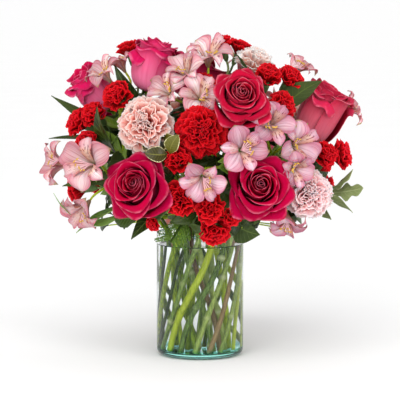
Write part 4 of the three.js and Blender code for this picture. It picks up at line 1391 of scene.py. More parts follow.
@dataclass
class RuffledFlower:
    """A carnation: turns of fan-shaped petals, crumpled towards their cut edges."""

    bloom: Bloom
    seed: int
    rows: tuple[float, ...] = (0.0, 0.3, 0.52, 0.68, 0.8, 0.89, 0.96, 1.0)
    columns: int = 31
    thickness: float = 0.35
    foot: float = -0.46
    ruffle: float = 0.11
    fan: float = 0.5
    whorls: tuple[Whorl, ...] = (
        Whorl(3, 0.12, 0.42, 2.0),
        Whorl(4, 0.21, 0.44, 1.7),
        Whorl(4, 0.32, 0.45, 1.5),
        Whorl(5, 0.52, 0.45, 1.15),
        Whorl(6, 0.72, 0.38, 0.95, 0.03),
        Whorl(7, 0.9, 0.22, 0.8, 0.05),
        Whorl(7, 0.99, 0.0, 0.75, 0.06),
    )

    def petal(self, whorl: Whorl, bearing: float, rng: np.random.Generator) -> Array:
        """One petal's face.

        Formula: the middle line runs from the foot out to the lip, its height rising faster
        at first. Across it the petal is a fan. Its edge falls away to the sides and is cut
        into fine teeth. The crumple is two sines of the place across, growing towards the
        lip, at right angles to the middle line, and the edge leans out by the curl.

        Args:
            whorl: The turn that the petal is in.
            bearing: Where the petal's middle is.
            rng: The bloom's random numbers.

        Returns:
            The grid, its face towards the heart.
        """
        u = np.linspace(-1, 1, self.columns)[None, :]
        t = np.array(self.rows)[:, None]
        cut = (np.arange(self.columns)[None, :] % 2) * rng.uniform(0.02, 0.06, (1, self.columns))
        s = t * (1 - 0.16 * np.abs(u) ** 2.6) * (1 - cut * t**12)
        a, b = whorl.lip * rng.uniform(0.88, 1.04), whorl.height + rng.uniform(-0.06, 0.04)
        radius = self.bloom.radius * (0.06 + (a - 0.06) * s**1.12)
        height = self.bloom.depth * (self.foot + (b - self.foot) * (1 - (1 - s) ** 1.25))
        rise = math.atan2((b - self.foot) * self.bloom.depth, a * self.bloom.radius)
        phase = rng.uniform(0, 2 * math.pi, 3)
        fine = rng.uniform(10, 15)
        waves = np.sin(rng.uniform(4, 6.5) * u + phase[0]) + 0.7 * t * np.sin(fine * u + phase[1])
        push = self.ruffle * self.bloom.radius * t**1.5 * waves * rng.uniform(0.7, 1.15)
        lean = whorl.curl * self.bloom.radius * t**6
        radius = radius - push * math.sin(rise) + lean
        height = height + push * math.cos(rise) * 0.8 - lean
        width = self.fan + (1 - self.fan) * t**0.8
        sway = 0.14 * t**2 * np.sin(5 * u + phase[2])
        angle = bearing - u * whorl.spread * width + sway
        return round_axis(radius, angle, height)

    def shell(self) -> Shell:
        """All the petals, whorl by whorl."""
        rng = np.random.default_rng(self.seed)
        petals = []
        for index, whorl in enumerate(self.whorls):
            layer = index / (len(self.whorls) - 1)
            start = rng.uniform(0, 2 * math.pi)
            for k in range(whorl.count):
                bearing = start + 2 * math.pi * k / whorl.count + rng.uniform(-0.15, 0.15)
                grid = self.petal(whorl, bearing, rng)
                petals.append(sheet(grid, self.thickness, layer, rng.uniform()))
        return Shell.joined(petals)


SPRAY_WHORLS = (
    Whorl(3, 0.16, 0.34, 1.9),
    Whorl(4, 0.42, 0.36, 1.35),
    Whorl(5, 0.72, 0.3, 1.05),
    Whorl(6, 0.98, 0.02, 0.85),
)


SPRAY_WIDER = 1.07
SPRAY_DEPTH = 1.2


def spray_flower(bloom: Bloom, seed: int) -> RuffledFlower:
    """A spray carnation's bloom: four short whorls of the same petals."""
    size = bloom.radius * SPRAY_WIDER
    small = Bloom(bloom.at, bloom.faces, size, size * SPRAY_DEPTH)
    return RuffledFlower(small, seed, rows=(0.0, 0.4, 0.7, 0.88, 1.0), columns=15,
                         thickness=0.3, foot=-0.8, ruffle=0.13, whorls=SPRAY_WHORLS)


def calyx(foot: float, top: float, narrow: float, wide: float, sides: int = 20) -> Shell:
    """The green cup that holds a carnation's petals, with five teeth.

    Formula: a turned form whose upper edge is raised by the square of the cosine of two and
    a half times the bearing.

    Args:
        foot: Height of its base, in mm.
        top: Height of the notches between its teeth.
        narrow: Radius at the base.
        wide: Radius at the top.
        sides: Sides of the form.

    Returns:
        The closed cup.
    """
    height = top - foot
    outline = [(0, foot), (narrow * 0.8, foot), (narrow, foot + 0.05 * height),
               (wide * 0.92, foot + 0.3 * height), (wide, foot + 0.7 * height), (wide * 1.05, top),
               (wide * 0.95, top), (wide * 0.6, top - 0.25 * height), (0, top - 0.3 * height)]
    form = turned(outline, sides)
    bearing = np.arctan2(form.points[:, 1], form.points[:, 0])
    raised = np.where(form.points[:, 2] > top - 1e-6, 0.22 * height, 0)
    form.points[:, 2] += raised * np.cos(2.5 * bearing) ** 2
    form.uv[:, 1] = 0.5
    return form


TEPAL_OUT = ((0, 0.04), (0.15, 0.09), (0.35, 0.24), (0.65, 0.58), (0.88, 0.93), (1, 1.08))
NARROW_TEPAL = ((0, 0.05), (0.3, 0.12), (0.6, 0.23), (0.78, 0.25), (0.93, 0.13), (1, 0.01))
BROAD_TEPAL = ((0, 0.07), (0.25, 0.16), (0.5, 0.37), (0.7, 0.46), (0.9, 0.28), (1, 0.02))


@dataclass
class LilyFlower:
    """An alstroemeria flower: three broad tepals, and three narrow ones between and above."""

    bloom: Bloom
    seed: int
    rows: int = 19
    columns: int = 11
    thickness: float = 0.4
    spread: float = 1.02
    filament: float = 0.42
    anther: float = 0.95
    half_anther: float = 1.9

    def tepal(self, bearing: float, narrow: bool, rng: np.random.Generator) -> Array:
        """One tepal's face.

        Formula: its middle line rises steeply out of the funnel and then leans out; half its
        width is an eased outline, widest past the middle. Its sides are raised by the square
        of u, and its edge is waved in two lengths.

        Args:
            bearing: Where its middle is.
            narrow: Whether it is one of the three narrow ones.
            rng: The flower's random numbers.

        Returns:
            The grid, its face up.
        """
        u = np.linspace(-1, 1, self.columns)[None, :]
        t = np.linspace(0, 1, self.rows)[:, None]
        out = eased(TEPAL_OUT, t)
        end = rng.uniform(0.26, 0.5)
        rise = [(0, -0.5), (0.15, -0.3), (0.35, 0), (0.65, 0.34), (0.88, end), (1, end - 0.12)]
        up = eased(rise, t)
        if narrow:
            out, up = out * rng.uniform(0.86, 1.0), up + 0.12 * t
        half = eased(NARROW_TEPAL if narrow else BROAD_TEPAL, t) * rng.uniform(0.9, 1.1)
        cup = 0.7 * half * u**2 * (1 - 0.5 * t) - 0.05 * t**3 * u**2
        wave = 0.09 * np.sin(9 * t + rng.uniform(0, 6)) * u * t
        wave = wave + 0.05 * np.sin(15 * t + 2 * u + rng.uniform(0, 6)) * u**2 * t
        twist = rng.uniform(-0.3, 0.3)
        lateral = -u * half + 0.08 * twist * t**2
        radial = out + 0 * u
        height = up + cup + wave + 0.35 * twist * u * t
        angle = bearing + twist * 0.4
        x = radial * math.cos(angle) - lateral * math.sin(angle)
        y = radial * math.sin(angle) + lateral * math.cos(angle)
        return np.stack([x, y, height], axis=-1) * self.bloom.radius * self.spread

    def shell(self) -> Shell:
        """The six tepals. Two of the narrow ones are marked for the streaked throat."""
        rng = np.random.default_rng(self.seed)
        tepals = []
        for k in range(6):
            narrow = k % 2 == 1
            layer = (1.0 if k != 3 else 0.5) if narrow else 0.0
            grid = self.tepal(math.radians(60 * k), narrow, rng)
            tepals.append(sheet(grid, self.thickness, layer, rng.uniform()))
        return Shell.joined(tepals)

    def stamens(self) -> Shell:
        """Six stamens and a style that lean the same way, with an anther on each stamen.

        Formula: each is a curve from the funnel's floor out to a tip; the tips lie round a
        point that is off the axis. An anther is a short tube whose radius is an oval's.
        """
        rng = np.random.default_rng(self.seed + 5000)
        size = self.bloom.radius
        lean = rng.uniform(0, 2 * math.pi)
        parts = []
        for k in range(7):
            bearing = lean + (k - 3) * 0.32
            reach = size * rng.uniform(0.22, 0.42)
            tip = np.array([reach * math.cos(bearing), reach * math.sin(bearing),
                            size * rng.uniform(0.34, 0.5)])
            middle = np.array([tip[0] * 0.3, tip[1] * 0.3, size * 0.1])
            path = curve([(0, 0, -0.35 * size), middle, tip], 7)
            parts.append(tube(path, self.filament, 5, rng.uniform()))
            if k != 3:
                way = unit(np.array([math.cos(bearing + 1.2), math.sin(bearing + 1.2), 0.3]))
                place = np.linspace(-1, 1, 5)[:, None]
                oval = self.anther * np.sqrt(1.02 - (place[:, 0] * 0.95) ** 2)
                middle = tip + way * place * self.half_anther
                parts.append(tube(middle, oval, 6, rng.uniform(), 1.0))
        return Shell.joined(parts)


# --- Leaves and stems ---


@dataclass
class LeafBlade:
    """A leaf from its stem to its tip, bowed along and folded a little at its rib."""

    base: Array
    leaf: Leaf
    seed: int
    rows: int = 25
    columns: int = 11
    thickness: float = 0.45
    fold: float = 0.22
    wave: float = 0.06
    faces: Point | None = None

    def shell(self) -> Shell:
        """The leaf.

        Formula: a point is the straight line from base to tip, plus the normal times a bow of
        four times the arch times t(1 - t), plus u times half the width across, plus a fold
        that grows with the distance from the rib, and a wave that runs along the sides. The
        half width is an eased outline. The normal points away from the bouquet's heart, or
        the way that the leaf faces, at right angles to the leaf.
        """
        rng = np.random.default_rng(self.seed)
        tip = np.array(self.leaf.tip, float)
        line = tip - self.base
        length = float(np.linalg.norm(line))
        outward = (self.base + tip) / 2 - np.array([0, 0, HEART_HEIGHT])
        if self.faces is not None:
            outward = np.array(self.faces, float)
        normal = unit(outward - unit(line) * float(outward @ unit(line)))
        across = np.cross(normal, unit(line))
        u = np.linspace(-1, 1, self.columns)[None, :]
        t = np.linspace(0, 1, self.rows)[:, None]
        half = eased(self.leaf.outline.value, t) * self.leaf.width / 2
        half = np.maximum(half, 0.35)
        bow = 4 * self.leaf.arch * length * t * (1 - t)
        side = np.sign(u) * np.abs(u) ** 0.9
        phase = t * rng.uniform(8, 12) + rng.uniform(0, 6) + 2 * u
        ripple = self.wave * length * 0.25 * np.sin(phase)
        lift = self.fold * half * np.abs(u) + ripple * u**2 * np.sin(math.pi * t)
        sway = rng.uniform(-0.06, 0.06) * length * np.sin(math.pi * t)
        flat = side * half + sway
        risen = normal * (bow + lift)[..., None]
        grid = self.base + line * t[..., None] + risen - across * flat[..., None]
        return sheet(grid, self.thickness, 0.0, rng.uniform())


@dataclass
class Frond:
    """A feathery frond: leaflets in pairs along its rib, each cut into small lobes."""

    path: Array
    pairs: int
    faces: Point = (-0.25, -0.9, 0.35)
    length: float = 34.0
    lobes: int = 10
    lobe_width: float = 1.1
    seed: int = 77

    def shell(self) -> Shell:
        """The leaflets, each a thin midrib with small lobes in pairs.

        Formula: pair by pair along the rib's last part, a leaflet points on and out by 0.7 of
        its length, shorter towards both ends. Lobes stand on it in pairs, on by 0.8 and out
        by half their length.
        """
        rng = np.random.default_rng(self.seed)
        normal = unit(np.array(self.faces, float))
        parts = []
        for pair in range(self.pairs):
            share = 0.3 + 0.68 * pair / self.pairs
            base = station(self.path, share)
            ahead = unit(station(self.path, 1.0) - base)
            across = unit(np.cross(ahead, normal))
            size = self.length * (1 - 0.7 * abs(pair / self.pairs - 0.4)) * rng.uniform(0.8, 1.05)
            for hand in (-1, 1):
                tip = base + ahead * size * 0.7 + across * (hand * size * 0.7)
                tip = tip + normal * rng.uniform(-9, 9)
                rib = base + (tip - base) * np.linspace(0, 1, 6)[:, None]
                rib = rib + normal * (np.sin(np.linspace(0, math.pi, 6)) * 1.5)[:, None]
                parts.append(tube(rib, np.linspace(0.45, 0.2, 6), 5))
                way = unit(tip - base)
                beside = unit(np.cross(way, normal))
                for lobe in range(self.lobes):
                    foot = station(rib, 0.06 + 0.1 * lobe)
                    reach = rng.uniform(3.4, 5) * (1 - 0.07 * lobe)
                    for turn in (-1, 1):
                        end = foot + way * reach * 0.8 + beside * turn * reach * 0.5
                        end = end + normal * rng.uniform(-1.5, 1.5)
                        row = Leaf(0, tuple(end), self.lobe_width, Outline.NARROW, 0.05)
                        blade = LeafBlade(foot, row, int(rng.integers(1 << 30)), 5, 3, 0.3,
                                          wave=0, faces=tuple(normal))
                        parts.append(blade.shell())
        return Shell.joined(parts)


NODE_REACH = 3.2  # half the length of a swollen node, in mm


def jointed(path: Array, radius: float, spacing: float, swell: float, offset: float) -> Array:
    """A stem's radius at each station, with swollen nodes.

    Formula: the radius, plus its share swell times a bell curve of a node's reach round each
    node; the nodes lie a spacing apart along the stem.

    Args:
        path: Stations along the stem.
        radius: Its radius between the nodes.
        spacing: Distance between nodes, in mm.
        swell: How much thicker a node is, as a share.
        offset: Where the first node is.

    Returns:
        One radius for each station.
    """
    step = np.linalg.norm(np.diff(path, axis=0), axis=1)
    run = np.concatenate([[0], np.cumsum(step)])
    off = np.abs((run - offset + spacing / 2) % spacing - spacing / 2)
    return radius * (1 + swell * np.exp(-((off / NODE_REACH) ** 2)))


# --- The bouquet's sub-assemblies ---

GREEN_STEM = StemSkin("fresh_green_stem", "green_stem")
GREY_STEM = StemSkin("waxy_grey_green_stem", "grey_green_stem", "#bcd06c", "#7c9c44",
                     "#46602a", "#dce4a8", 0.55)
GREY_CALYX = StemSkin("grey_green_calyx", "red_carnation_petal", "#8fa362", "#5f7b45",
                       "#4c6438", "#c2cf9a", 0.55)
ROSE_LEAF = LeafSkin("rose_leaf", "green_stem", "#1a2a09", "#334712", "#43552a", "#5f7432")
DARK_LEAF = LeafSkin("ruscus_leaf", "green_leaf", "#1b2c0a", "#3a5016", "#4a5e2c", "#62783a",
                     gloss=0.33)
OAK_LEAF = LeafSkin("oak_leaf", "green_leaf", "#49562a", "#68763e", "#7c8856", "#a4ac7c", "#b6bc92",
                    0.5, 0.5)
FERN_LEAF = LeafSkin("fern_leaflet", "green_leaf", "#4a6e1e", "#7aa03c", "#80a050", "#8cac54")
EDGED_LEAF = LeafSkin("pittosporum_leaf", "cream_edged_leaf", "#302c08", "#565418", "#7c8044",
                      "#74722e", "#d8d2a0", 0.9, 0.3)
LILY_LEAF = LeafSkin("alstroemeria_leaf", "green_stem", "#4f7f22", "#86ab3c", "#8fae5c", "#a9c766",
                     gloss=0.3)
DARK_STALK = StemSkin("dark_green_stalk", "green_leaf", "#56742c", "#3a5218", "#2c4010",
                      "#7c9448", 0.5)
WOOD = StemSkin("woody_brown_stem", "green_leaf", "#b08a5c", "#865e3c", "#5c3c24",
                "#b8a070", 0.7)
HOT_ROSE = RosePetal("hot_pink_rose_petal", "rose_petal")
# A lit copy of the hot pink rose finish: brighter colours and a strong painted highlight at the
# claw.
LIT_HOT_ROSE = RosePetal("lit_hot_pink_rose_petal", "rose_petal", "#6a0014", "#ac042a", "#b40c40",
                       "#b8104c", "#f592b6", "#c82c60", 0.6)
WARM_ROSE = RosePetal("warm_pink_rose_petal", "rose_petal", "#5a000e", "#960416", "#a00a2c",
                      "#a40c2c", "#ec8498", "#ae1838", 0.25)
CORAL_ROSE = RosePetal("coral_pink_rose_petal", "rose_petal", "#74041a", "#a80a28", "#b41838",
                       "#b42044", "#f294a6", "#ac2640", 0.38)
PINK_CARNATION = CarnationPetal("pink_carnation_petal", "pink_carnation_petal")
PALE_CARNATION = CarnationPetal("pale_carnation_petal", "pink_carnation_petal", "#f8d2d2",
                                "#f5bcbe", "#f09498", "#e0505e", 0.5)
CREAM_CARNATION = CarnationPetal("cream_carnation_petal", "pink_carnation_petal", "#fbe6dc",
                                 "#f8d8ce", "#f0b0a4", "#e8888a", 0.4)
RED_CARNATION = CarnationPetal("red_carnation_petal", "red_carnation_petal", "#d60c18", "#c2040e",
                               "#8c0206", "#e8404c", 0.2)
RED_SPRAY = CarnationPetal("red_spray_petal", "red_carnation_petal", "#d00812", "#ba040c",
                           "#820204", "#e02030", 0.2)
PINK_LILY = LilyPetal("pale_pink_alstroemeria_petal", "alstroemeria_petal")
MAUVE_LILY = LilyPetal("mauve_pink_alstroemeria_petal", "alstroemeria_petal", "#ccb2ba", "#ae6c80",
                       "#8e3856")
LILY_POLLEN = Pollen("alstroemeria_stamen", "alstroemeria_petal")

# Spacing of a stem's nodes in mm, and their swell; count, length and width of its leaves.
NODES = {"rose": (90.0, 0.14), "carnation": (62.0, 0.5), "spray_carnation": (48.0, 0.5),
         "alstroemeria": (120.0, 0.1)}
FILLERS = {"rose": (8, 58, 30), "carnation": (5, 58, 30), "spray_carnation": (3, 48, 20),
           "alstroemeria": (4, 48, 20)}
DOME = (150.0, 112.0, 128.0)  # half sizes of the dome of blooms, round the heart
LEAF_FLOOR = 162.0  # the lowest that a filling leaf's tip hangs


def grow(stem: Array, leaves: Sequence[Leaf], seed: int, **looks: Any) -> list[Shell]:
    """The leaves of a stem, each at its share of the stem's stations."""
    return [
        LeafBlade(station(stem, leaf.start), leaf, seed + k, faces=leaf.faces, **looks).shell()
        for k, leaf in enumerate(leaves)
    ]


def fill_leaves(stem: Array, seed: int, count: int, length: float, width: float) -> list[Shell]:
    """Further leaves up a stem, which close the dark gaps between the blooms.

    Formula: each springs from the upper part of the stem and points away from the bouquet's
    heart, turned aside by a random share. One that would pass the dome of blooms is cut short
    by the square of how far, and none hangs lower than the leaf floor.

    Args:
        stem: The stem's stations above the vase.
        seed: Of the random numbers.
        count: How many leaves.
        length: Their length, in mm.
        width: Their width, in mm.

    Returns:
        The leaves.
    """
    rng = np.random.default_rng(seed)
    leaves = []
    for k in range(count):
        base = station(stem, rng.uniform(0.5, 0.9))
        outward = unit(base - np.array([0, 0, HEART_HEIGHT]))
        way = unit(outward + 0.75 * rng.normal(size=3) * np.array([1, 1, 0.6]))
        reach = length * rng.uniform(0.8, 1.15)
        tip = base + way * reach
        far = np.linalg.norm((tip - np.array([0, 0, HEART_HEIGHT])) / np.array(DOME))
        if far > 1:
            tip = base + way * reach / far**2
        tip[2] = max(tip[2], LEAF_FLOOR)
        row = Leaf(0, tuple(tip), width * rng.uniform(0.8, 1.1), arch=0.08)
        leaves.append(LeafBlade(base, row, seed + 90 + k, 15, 7).shell())
    return leaves


@dataclass
class Vase:
    """The glass cylinder: thick floor, rounded heel, straight wall and fire-polished rim."""

    radius: float = 51.0
    height: float = 145.0
    wall: float = 3.0
    floor: float = 6.0
    heel: float = 9.0
    lip: float = 1.15
    hollow: float = 6.0
    sides: int = 144

    def build(self, shop: Workshop) -> None:
        """Turns the wall and dresses it in glass."""
        inside = self.radius - self.wall
        outline = rounded([
            (0, 0, 0), (self.radius, 0, self.heel), (self.radius, self.height, self.lip),
            (inside, self.height, self.lip), (inside, self.floor, self.hollow),
            (0, self.floor, 0),
        ])
        glass = Glass("soda_lime_glass", "vase_glass")
        shop.piece("vase_glass", turned(outline, self.sides), glass, "vase")


@dataclass
class Water:
    """The water: a still body against the glass, its edge drawn up a little at the wall."""

    radius: float = 48.15
    floor: float = 5.85
    level: float = 130.0
    hollow: float = 6.0
    climb: float = 1.6
    fall: float = 1.5
    sides: int = 144

    def build(self, shop: Workshop) -> None:
        """Turns the body.

        Formula: the surface's height is the level plus the climb times a falling exponential
        of the distance from the wall over the fall. The body overlaps the glass a little.
        """
        reach = self.radius - np.array([0.0, 0.15, 0.6, 1.4, 2.5, 4.0, 7.0, 14.0, 30.0])
        rise = self.level + self.climb * np.exp(-(self.radius - reach) / self.fall)
        under = rounded([(0, self.floor, 0), (self.radius, self.floor, self.hollow),
                         (self.radius, rise[0] - 0.2, 0)])
        outline = under + list(zip(reach, rise)) + [(0.0, self.level)]
        body = StillWater("tap_water", "water")
        shop.piece("vase_water", turned(outline, self.sides), body, "water")


# Radius and height of a rose's hip above the foot of its petals, from below.
HIP = ((0, -9), (2.8, -9), (4.6, -6.5), (6.4, -3), (6.8, 0), (5.0, 3), (0, 4))
SEPAL_REACH = (5.5, 19)
SEPAL_WIDTH = 6.5
# A calyx's foot, its notches and its two radii: of a carnation in mm, its heights above
# the foot of the petals, and of a spray carnation in its bloom's radii.
CALYX = (-17, 6, 3.6, 6.8)
SPRAY_CUP = (-1.72, -0.68, 0.14, 0.27)
CUPPED_ROSES = (1, 3, 6, 8)
CUPPED_WIDER = 1.03
CUPPED_DEEPER = 1.13


@dataclass
class SingleFlowers:
    """Roses or carnations: a stem with one bloom each."""

    kind: str
    rows: tuple[Single, ...]
    radius: float
    seed: int

    def finish_of(self, index: int, row: Single) -> Finish:
        """The bloom's finish: roses by their place, carnations by their tint."""
        if self.kind == "rose":
            # Roses 1 and 6 take the lit copy of the hot pink finish: painted light.
            light, coral = dict.fromkeys((1, 6), LIT_HOT_ROSE), dict.fromkeys((3, 8), CORAL_ROSE)
            return (light | coral | {2: WARM_ROSE}).get(index, HOT_ROSE)
        if row.tint is Tint.RED:
            return RED_CARNATION
        return {3: PALE_CARNATION, 4: CREAM_CARNATION}.get(index, PINK_CARNATION)

    def stem(self, row: Single) -> Stem:
        """The stem: it enters the bloom along the bloom's own axis."""
        away = unit(np.array(row.bloom.faces, float))
        sunk = ROOT if row.whole else -GAP
        end = np.array(row.bloom.at, float) + away * (sunk - row.bloom.depth / 2)
        return Stem(row.mouth, self.radius, [end - away * NECK_LENGTH, end])

    def neck(self, row: Single) -> Shell:
        """The green part under the petals: a rose's hip and sepals, or a carnation's calyx."""
        foot = -row.bloom.depth / 2
        if self.kind != "rose":
            low, notch, narrow, wide = CALYX
            return calyx(foot + low, foot + notch, narrow, wide)
        hip = turned([(radius, foot + height) for radius, height in HIP], 16)
        hip.uv[:, 1] = 0.5
        parts = [hip]
        for k in range(5):
            way = 2 * math.pi * k / 5 + 0.3
            start, reach = SEPAL_REACH
            base = np.array([start * math.cos(way), start * math.sin(way), foot])
            tip = (reach * math.cos(way), reach * math.sin(way), foot + 4 - 5 * (k % 3))
            facing = (math.cos(way), math.sin(way), 1.5)
            row_leaf = Leaf(0, tip, SEPAL_WIDTH, Outline.NARROW, 0.12)
            blade = LeafBlade(base, row_leaf, k, 8, 5, 0.4, wave=0, faces=facing)
            sepal = blade.shell()
            sepal.uv[:, 1] = 0.5
            parts.append(sepal)
        return Shell.joined(parts)

    def build(self, shop: Workshop) -> None:
        """Builds and dresses each flower."""
        rose = self.kind == "rose"
        for index, row in enumerate(self.rows, 1):
            seed = self.seed + 31 * index
            whole = f"{self.kind}_{index}"
            stem_node = whole if row.whole else f"{self.kind}_stem_{index}"
            bloom_node = whole if row.whole else f"{self.kind}_bloom_{index}"
            turn, at = turn_to(row.bloom.faces), row.bloom.at
            stem = self.stem(row)
            path = stem.path()
            first_node = 25 + 11 * index % 60
            thick = self.radius * stem.fullness()
            size = jointed(path, thick, *NODES[self.kind], first_node)
            tone = (index * 0.37) % 1
            parts = [tube(path, size, 12, tone), self.neck(row).placed(turn, at)]
            skin = GREEN_STEM if rose else GREY_STEM
            shop.piece(f"{self.kind}_stalk_{index}", Shell.joined(parts), skin, stem_node)
            leaves = grow(stem.free(), row.leaves, seed)
            leaves += fill_leaves(stem.free(), seed, *FILLERS[self.kind])
            shop.piece(f"{self.kind}_leaves_{index}", Shell.joined(leaves), ROSE_LEAF)
            flower = RuffledFlower(row.bloom, seed)
            if rose and index in CUPPED_ROSES:
                full = replace(row.bloom, radius=row.bloom.radius * CUPPED_WIDER,
                               depth=row.bloom.depth * CUPPED_DEEPER)
                flower = RoseFlower(full, seed, lean=0.0, peak_out=0.04, peak_up=0.09,
                                    whorls=CUPPED_WHORLS)
            elif rose:
                flower = RoseFlower(row.bloom, seed)
            petals = flower.shell().placed(turn, at)
            skin = self.finish_of(index, row)
            shop.piece(f"{self.kind}_petals_{index}", petals, skin, bloom_node)


MAUVE_HEADS = (4, 5, 6)
KNUCKLE_RADIUS = (2.2, 0.4)  # at its ends, and how much more in its middle
PEDICEL_RADIUS = (1.5, 1.25)  # at the knuckle and at the bloom


@dataclass
class BranchingFlowers:
    """Spray carnations or alstroemeria: stems that fork to heads of several blooms."""

    kind: str
    rows: tuple[Branching, ...]
    radius: float
    back: float
    seed: int

    def branch(self, row: Branching, head: Head, rising: Array) -> tuple[Array, Array]:
        """A branch's stations from the fork to just short of a hub, and its last direction."""
        fork, hub = np.array(row.fork, float), np.array(head.hub, float)
        bend = fork + (hub - fork) * BEND_SHARE + rising * (BEND_LIFT * np.linalg.norm(hub - fork))
        approach = unit(hub - bend)
        stop = hub - approach * (KNUCKLE_REACH + GAP)
        return curve([fork - rising * FORK_OVERLAP, bend, stop], 18), approach

    def stalks(self, head: Head, approach: Array, index: int) -> Shell:
        """A head's knuckle and pedicels, and on spray carnations the calyxes."""
        hub = np.array(head.hub, float)
        ends = hub + approach * np.linspace(-1.15, 1, 7)[:, None] * KNUCKLE_REACH
        slim, swell = KNUCKLE_RADIUS
        parts = [tube(ends, slim + swell * np.sin(np.linspace(0, math.pi, 7)), 10, 0.4)]
        for k, bloom in enumerate(head.blooms):
            away = unit(np.array(bloom.faces, float))
            end = np.array(bloom.at, float) - away * self.back * bloom.radius
            lead = end - away * PEDICEL_LEAD * np.linalg.norm(end - hub)
            path = curve([hub, lead, end + away], 12)
            size = np.linspace(*PEDICEL_RADIUS, len(path))
            parts.append(tube(path, size, 8, (0.3 * (index + k)) % 1))
            if self.kind == "spray_carnation":
                cup = calyx(*(share * bloom.radius for share in SPRAY_CUP), sides=16)
                parts.append(cup.placed(turn_to(bloom.faces), bloom.at))
        green = Shell.joined(parts)
        green.uv[:, 1] = np.maximum(green.uv[:, 1], 0.05)
        return green

    def build(self, shop: Workshop) -> None:
        """Builds and dresses each stem, its branches, its heads and their blooms."""
        spray = self.kind == "spray_carnation"
        number = 0
        for index, row in enumerate(self.rows, 1):
            stem = Stem(row.mouth, self.radius, [np.array(row.fork, float)])
            rising = unit(np.array(row.fork, float) - stem.foot_and_top()[1])
            path = stem.path()
            thick = self.radius * stem.fullness()
            size = jointed(path, thick, *NODES[self.kind], 18 + 9 * index)
            woods = [tube(path, size, 12, (0.21 * index) % 1)]
            leaves = grow(stem.free(), row.leaves, self.seed + index)
            for head in row.heads:
                number += 1
                branch, approach = self.branch(row, head, rising)
                woods.append(tube(branch, self.radius * 0.8, 10, (0.17 * number) % 1))
                woods[-1].uv[:, 1] = 0.5
                leaves += grow(branch, head.leaves, self.seed + 40 * number)
                leaves += fill_leaves(branch, self.seed + number, *FILLERS[self.kind])
                self.dress_head(shop, head, approach, number)
            skin, blade = (GREY_STEM, ROSE_LEAF) if spray else (GREEN_STEM, LILY_LEAF)
            node = f"{self.kind}_stem_{index}"
            shop.piece(f"{self.kind}_wood_{index}", Shell.joined(woods), skin, node)
            shop.piece(f"{self.kind}_leaves_{index}", Shell.joined(leaves), blade)

    def dress_head(self, shop: Workshop, head: Head, approach: Array, number: int) -> None:
        """Builds a head: stalks, petals and, in alstroemeria, stamens."""
        spray = self.kind == "spray_carnation"
        node = f"{self.kind}_head_{number}"
        stalks, skin = self.stalks(head, approach, number), GREY_CALYX if spray else GREEN_STEM
        shop.piece(f"{self.kind}_stalks_{number}", stalks, skin, node)
        petals, stamens = [], []
        for k, bloom in enumerate(head.blooms):
            seed = self.seed + 100 * number + k
            turn = turn_to(bloom.faces)
            flower = spray_flower(bloom, seed) if spray else LilyFlower(bloom, seed)
            petals.append(flower.shell().placed(turn, bloom.at))
            if isinstance(flower, LilyFlower):
                stamens.append(flower.stamens().placed(turn, bloom.at))
        lily = MAUVE_LILY if number in MAUVE_HEADS else PINK_LILY
        finish = RED_SPRAY if spray else lily
        shop.piece(f"{self.kind}_petals_{number}", Shell.joined(petals), finish, node)
        if stamens:
            shop.piece(f"{self.kind}_stamens_{number}", Shell.joined(stamens), LILY_POLLEN)


FRONT_LEAF_BASE = (-34.0, -126.0, 245.0)
FRONT_LEAF_FACES = (-0.1, -1, 0.3)
FRONT_LEAVES = (
    Leaf(0, (-61, -135, 247), 18, Outline.WAVED, 0.14),
    Leaf(0, (-24, -137, 268), 17, Outline.WAVED, 0.14),
)


@dataclass
class Filling:
    """Leafy twigs that fill the bouquet under its dome of blooms, with dark leaves."""

    heart: Point = (0.0, -2.0, 165.0)
    reach: Point = (139.0, 109.0, 156.0)
    count: int = 170
    lowest: float = -0.12
    golden: float = 137.508
    twig: float = 0.8
    seed: int = 6100

    def build(self, shop: Workshop) -> None:
        """Builds the twigs, a leaf at the end of each.

        Formula: the k-th twig's direction has its height at an even step between the lowest
        and straight up, and its bearing at k golden angles. It ends at 0.68 to 0.82 of the
        reach that way, and its leaf lies across it.
        """
        rng = np.random.default_rng(self.seed)
        heart, reach = np.array(self.heart), np.array(self.reach)
        twigs, leaves = [], []
        for k in range(self.count):
            height = self.lowest + (1 - self.lowest) * (k + 0.5) / self.count
            bearing = math.radians(self.golden * k)
            flat = math.sqrt(1 - height**2)
            way = np.array([flat * math.cos(bearing), flat * math.sin(bearing), height])
            base = heart + way * reach * rng.uniform(0.68, 0.82)
            aside = unit(np.cross(way, rng.normal(size=3)))
            tip = base + aside * rng.uniform(30, 42) + way * rng.uniform(-4, 8)
            tip[2] = max(tip[2], LEAF_FLOOR)
            path = curve([heart + way * 22, base - way * 20, base], 7)
            twigs.append(tube(path, self.twig, 5, rng.uniform()))
            row = Leaf(0, tuple(tip), rng.uniform(16, 22), arch=0.12)
            blade = LeafBlade(base, row, self.seed + k, 9, 5, faces=tuple(way))
            leaves.append(blade.shell())
        shop.piece("filling_twigs", Shell.joined(twigs), GREEN_STEM)
        shop.piece("filling_leaves", Shell.joined(leaves), ROSE_LEAF)


